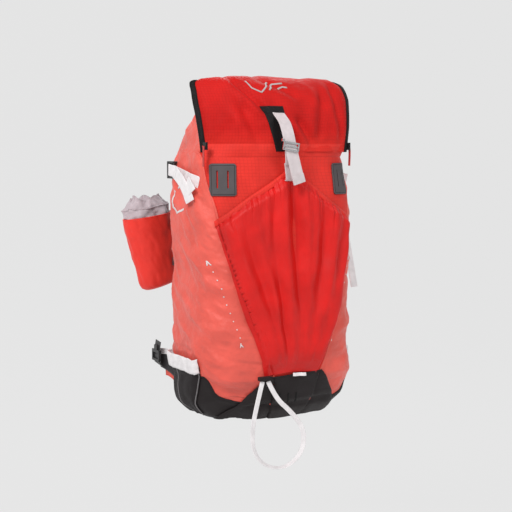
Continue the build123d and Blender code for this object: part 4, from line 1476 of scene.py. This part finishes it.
# ---- padded pieces: swollen by a short cloth simulation -----------------------------------
def plump(name, source, material, voxel=0.005, pressure=4.0, limit=0.004, frames=14, body="pack",
          shrink=0.0012):
    """Padding grown from a CAD solid: remeshed, drawn in, swollen under pressure and smoothed."""
    mesh = nodes[source].data.copy()
    mesh.name = name
    obj = link_object(name, mesh)
    bpy.context.view_layer.objects.active = obj
    for o in bpy.context.selected_objects:
        o.select_set(False)
    obj.select_set(True)
    remesh = obj.modifiers.new("remesh", "REMESH")
    remesh.mode = "VOXEL"
    remesh.voxel_size = voxel
    bpy.ops.object.modifier_apply(modifier="remesh")
    smooth = obj.modifiers.new("smooth", "SMOOTH")
    smooth.factor = 0.5
    smooth.iterations = 6
    bpy.ops.object.modifier_apply(modifier="smooth")
    rest = np.array([v.co[:] for v in obj.data.vertices])
    normal = np.array([v.normal[:] for v in obj.data.vertices])
    start = rest - normal * shrink
    obj.data.vertices.foreach_set("co", start.ravel())
    obj.data.update()
    cloth = obj.modifiers.new("cloth", "CLOTH")
    settings = cloth.settings
    settings.quality = 4
    settings.mass = 0.2
    settings.tension_stiffness = 18
    settings.compression_stiffness = 18
    settings.bending_stiffness = 2.0
    settings.use_pressure = True
    settings.uniform_pressure_force = pressure
    settings.effector_weights.gravity = 0
    cloth.collision_settings.use_collision = False
    cloth.point_cache.frame_end = frames
    for f in range(1, frames + 1):
        bpy.context.scene.frame_set(f)
    shape = obj.evaluated_get(bpy.context.evaluated_depsgraph_get()).data
    moved = np.array([v.co[:] for v in shape.vertices])
    obj.modifiers.remove(cloth)
    bpy.context.scene.frame_set(1)
    step = moved - rest
    size = np.linalg.norm(step, axis=1, keepdims=True)
    step *= np.minimum(1, limit / np.maximum(size, 1e-9))
    obj.data.vertices.foreach_set("co", (rest + step).ravel())
    obj.data.update()
    box_uvs(obj.data)
    obj.data.materials.clear()
    obj.data.materials.append(M[material])
    obj.data.polygons.foreach_set("use_smooth", [True] * len(obj.data.polygons))
    sub = obj.modifiers.new("subdivide", "SUBSURF")
    sub.levels = 1
    sub.render_levels = 1
    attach(obj, body)
    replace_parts(obj, source)
    return obj


plump("shoulder_pad_left", "shoulder_strap_left", "padding", 0.0045, 4, 0.003)
plump("shoulder_pad_right", "shoulder_strap_right", "padding", 0.0045, 4, 0.003)
plump("back_pads_soft", "back_pads", "padding", 0.005, 4, 0.004)
plump("lumbar_soft", "lumbar_pad", "padding", 0.005, 4, 0.004)
for side_name, _ in SIDES:
    wing = plump(f"hip_wing_soft_{side_name}", f"hip_wing_{side_name}", "padding", 0.0045, 4, 0.003,
                 body=f"hip_wing_{side_name}")
    # The wing narrows towards its end: the lower edge rises.
    for v in wing.data.vertices:
        taper = 0.62 * float(smoothstep(0.088, 0.138, abs(v.co.x)))
        v.co.z = -0.449 + (v.co.z + 0.449) * (1 - taper)
bundle = plump("airbag_bundle", "folded_airbag", "airbag", 0.005, 5, 0.003)
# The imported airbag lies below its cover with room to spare.
for v in bundle.data.vertices:
    v.co.z = min(v.co.z - 0.0035, at_skin_top(v.co.x, v.co.y) - 0.0050)

# ---- CAD pieces that keep their shape ------------------------------------------------------
KEEP = {"firing_pin": "steel", "gas_cartridge_large": "steel", "gas_cartridge_small": "steel",
        "frame_stays": "aluminium", "inflator_housing": "aluminium", "airbag_feed": "aluminium",
        "frame_sheet": "sheet", "trigger_cable": "plastic", "sternum_rails": "plastic", "zip_sliders": "trim",
        "trigger_guide": "plastic",
        "strap_adjusters": "plastic", "sternum_sliders": "plastic", "sternum_buckle": "plastic",
        "trigger_handle": "red_plastic", "airbag_tray": "boot"}
for node, material in KEEP.items():
    obj = nodes[node]
    if not obj.data.uv_layers:
        box_uvs(obj.data)
    for k in range(len(obj.material_slots)):
        obj.material_slots[k].material = M[material]


# ---- floor and light ----------------------------------------------------------------
def stage_set():
    """A seamless sweep, whose floor turns up into the wall behind, the world and three lamps."""
    curve = [(-9.0, -0.95)] + [(1.8 + 2.2 * math.sin(t * math.pi / 40), 1.25 - 2.2 * math.cos(t * math.pi / 40))
                               for t in range(21)] + [(4.0, 7.0)]
    verts = [(x, y, z) for y, z in curve for x in (-11.0, 11.0)]
    faces = [(2 * k, 2 * k + 1, 2 * k + 3, 2 * k + 2) for k in range(len(curve) - 1)]
    mesh = bpy.data.meshes.new("floor")
    mesh.from_pydata(verts, [], faces)
    mesh.polygons.foreach_set("use_smooth", [True] * len(mesh.polygons))
    floor = link_object("floor", mesh)
    n = Nodes("floor_pale")
    n.constants({"Base Color": (0.05, 0.05, 0.05, 1), "Roughness": 1.0, "Specular IOR Level": 0.0,
                 "Emission Color": (1, 1, 1, 1), "Emission Strength": 0.745})
    mesh.materials.append(n.material)
    world = bpy.data.worlds.new("world")
    bpy.context.scene.world = world
    world.use_nodes = True
    background = world.node_tree.nodes["Background"].inputs
    background["Color"].default_value = (1, 1, 1, 1)
    background["Strength"].default_value = 0.42
    for name, place, size, power in (("key", (-2.0, -1.5, 1.7), 0.9, 56), ("front", (0.7, -2.4, 1.5), 0.8, 20),
                                     ("rim", (0.8, 1.8, 1.2), 1.4, 16)):
        data = bpy.data.lights.new(name, "AREA")
        data.energy = power
        data.size = size
        lamp = link_object(name, data)
        lamp.location = place
        aim = Vector((0, -0.09, -0.27)) - Vector(place)
        lamp.rotation_euler = aim.to_track_quat("-Z", "Y").to_euler()
    bpy.context.scene.view_settings.view_transform = "Standard"


stage_set()
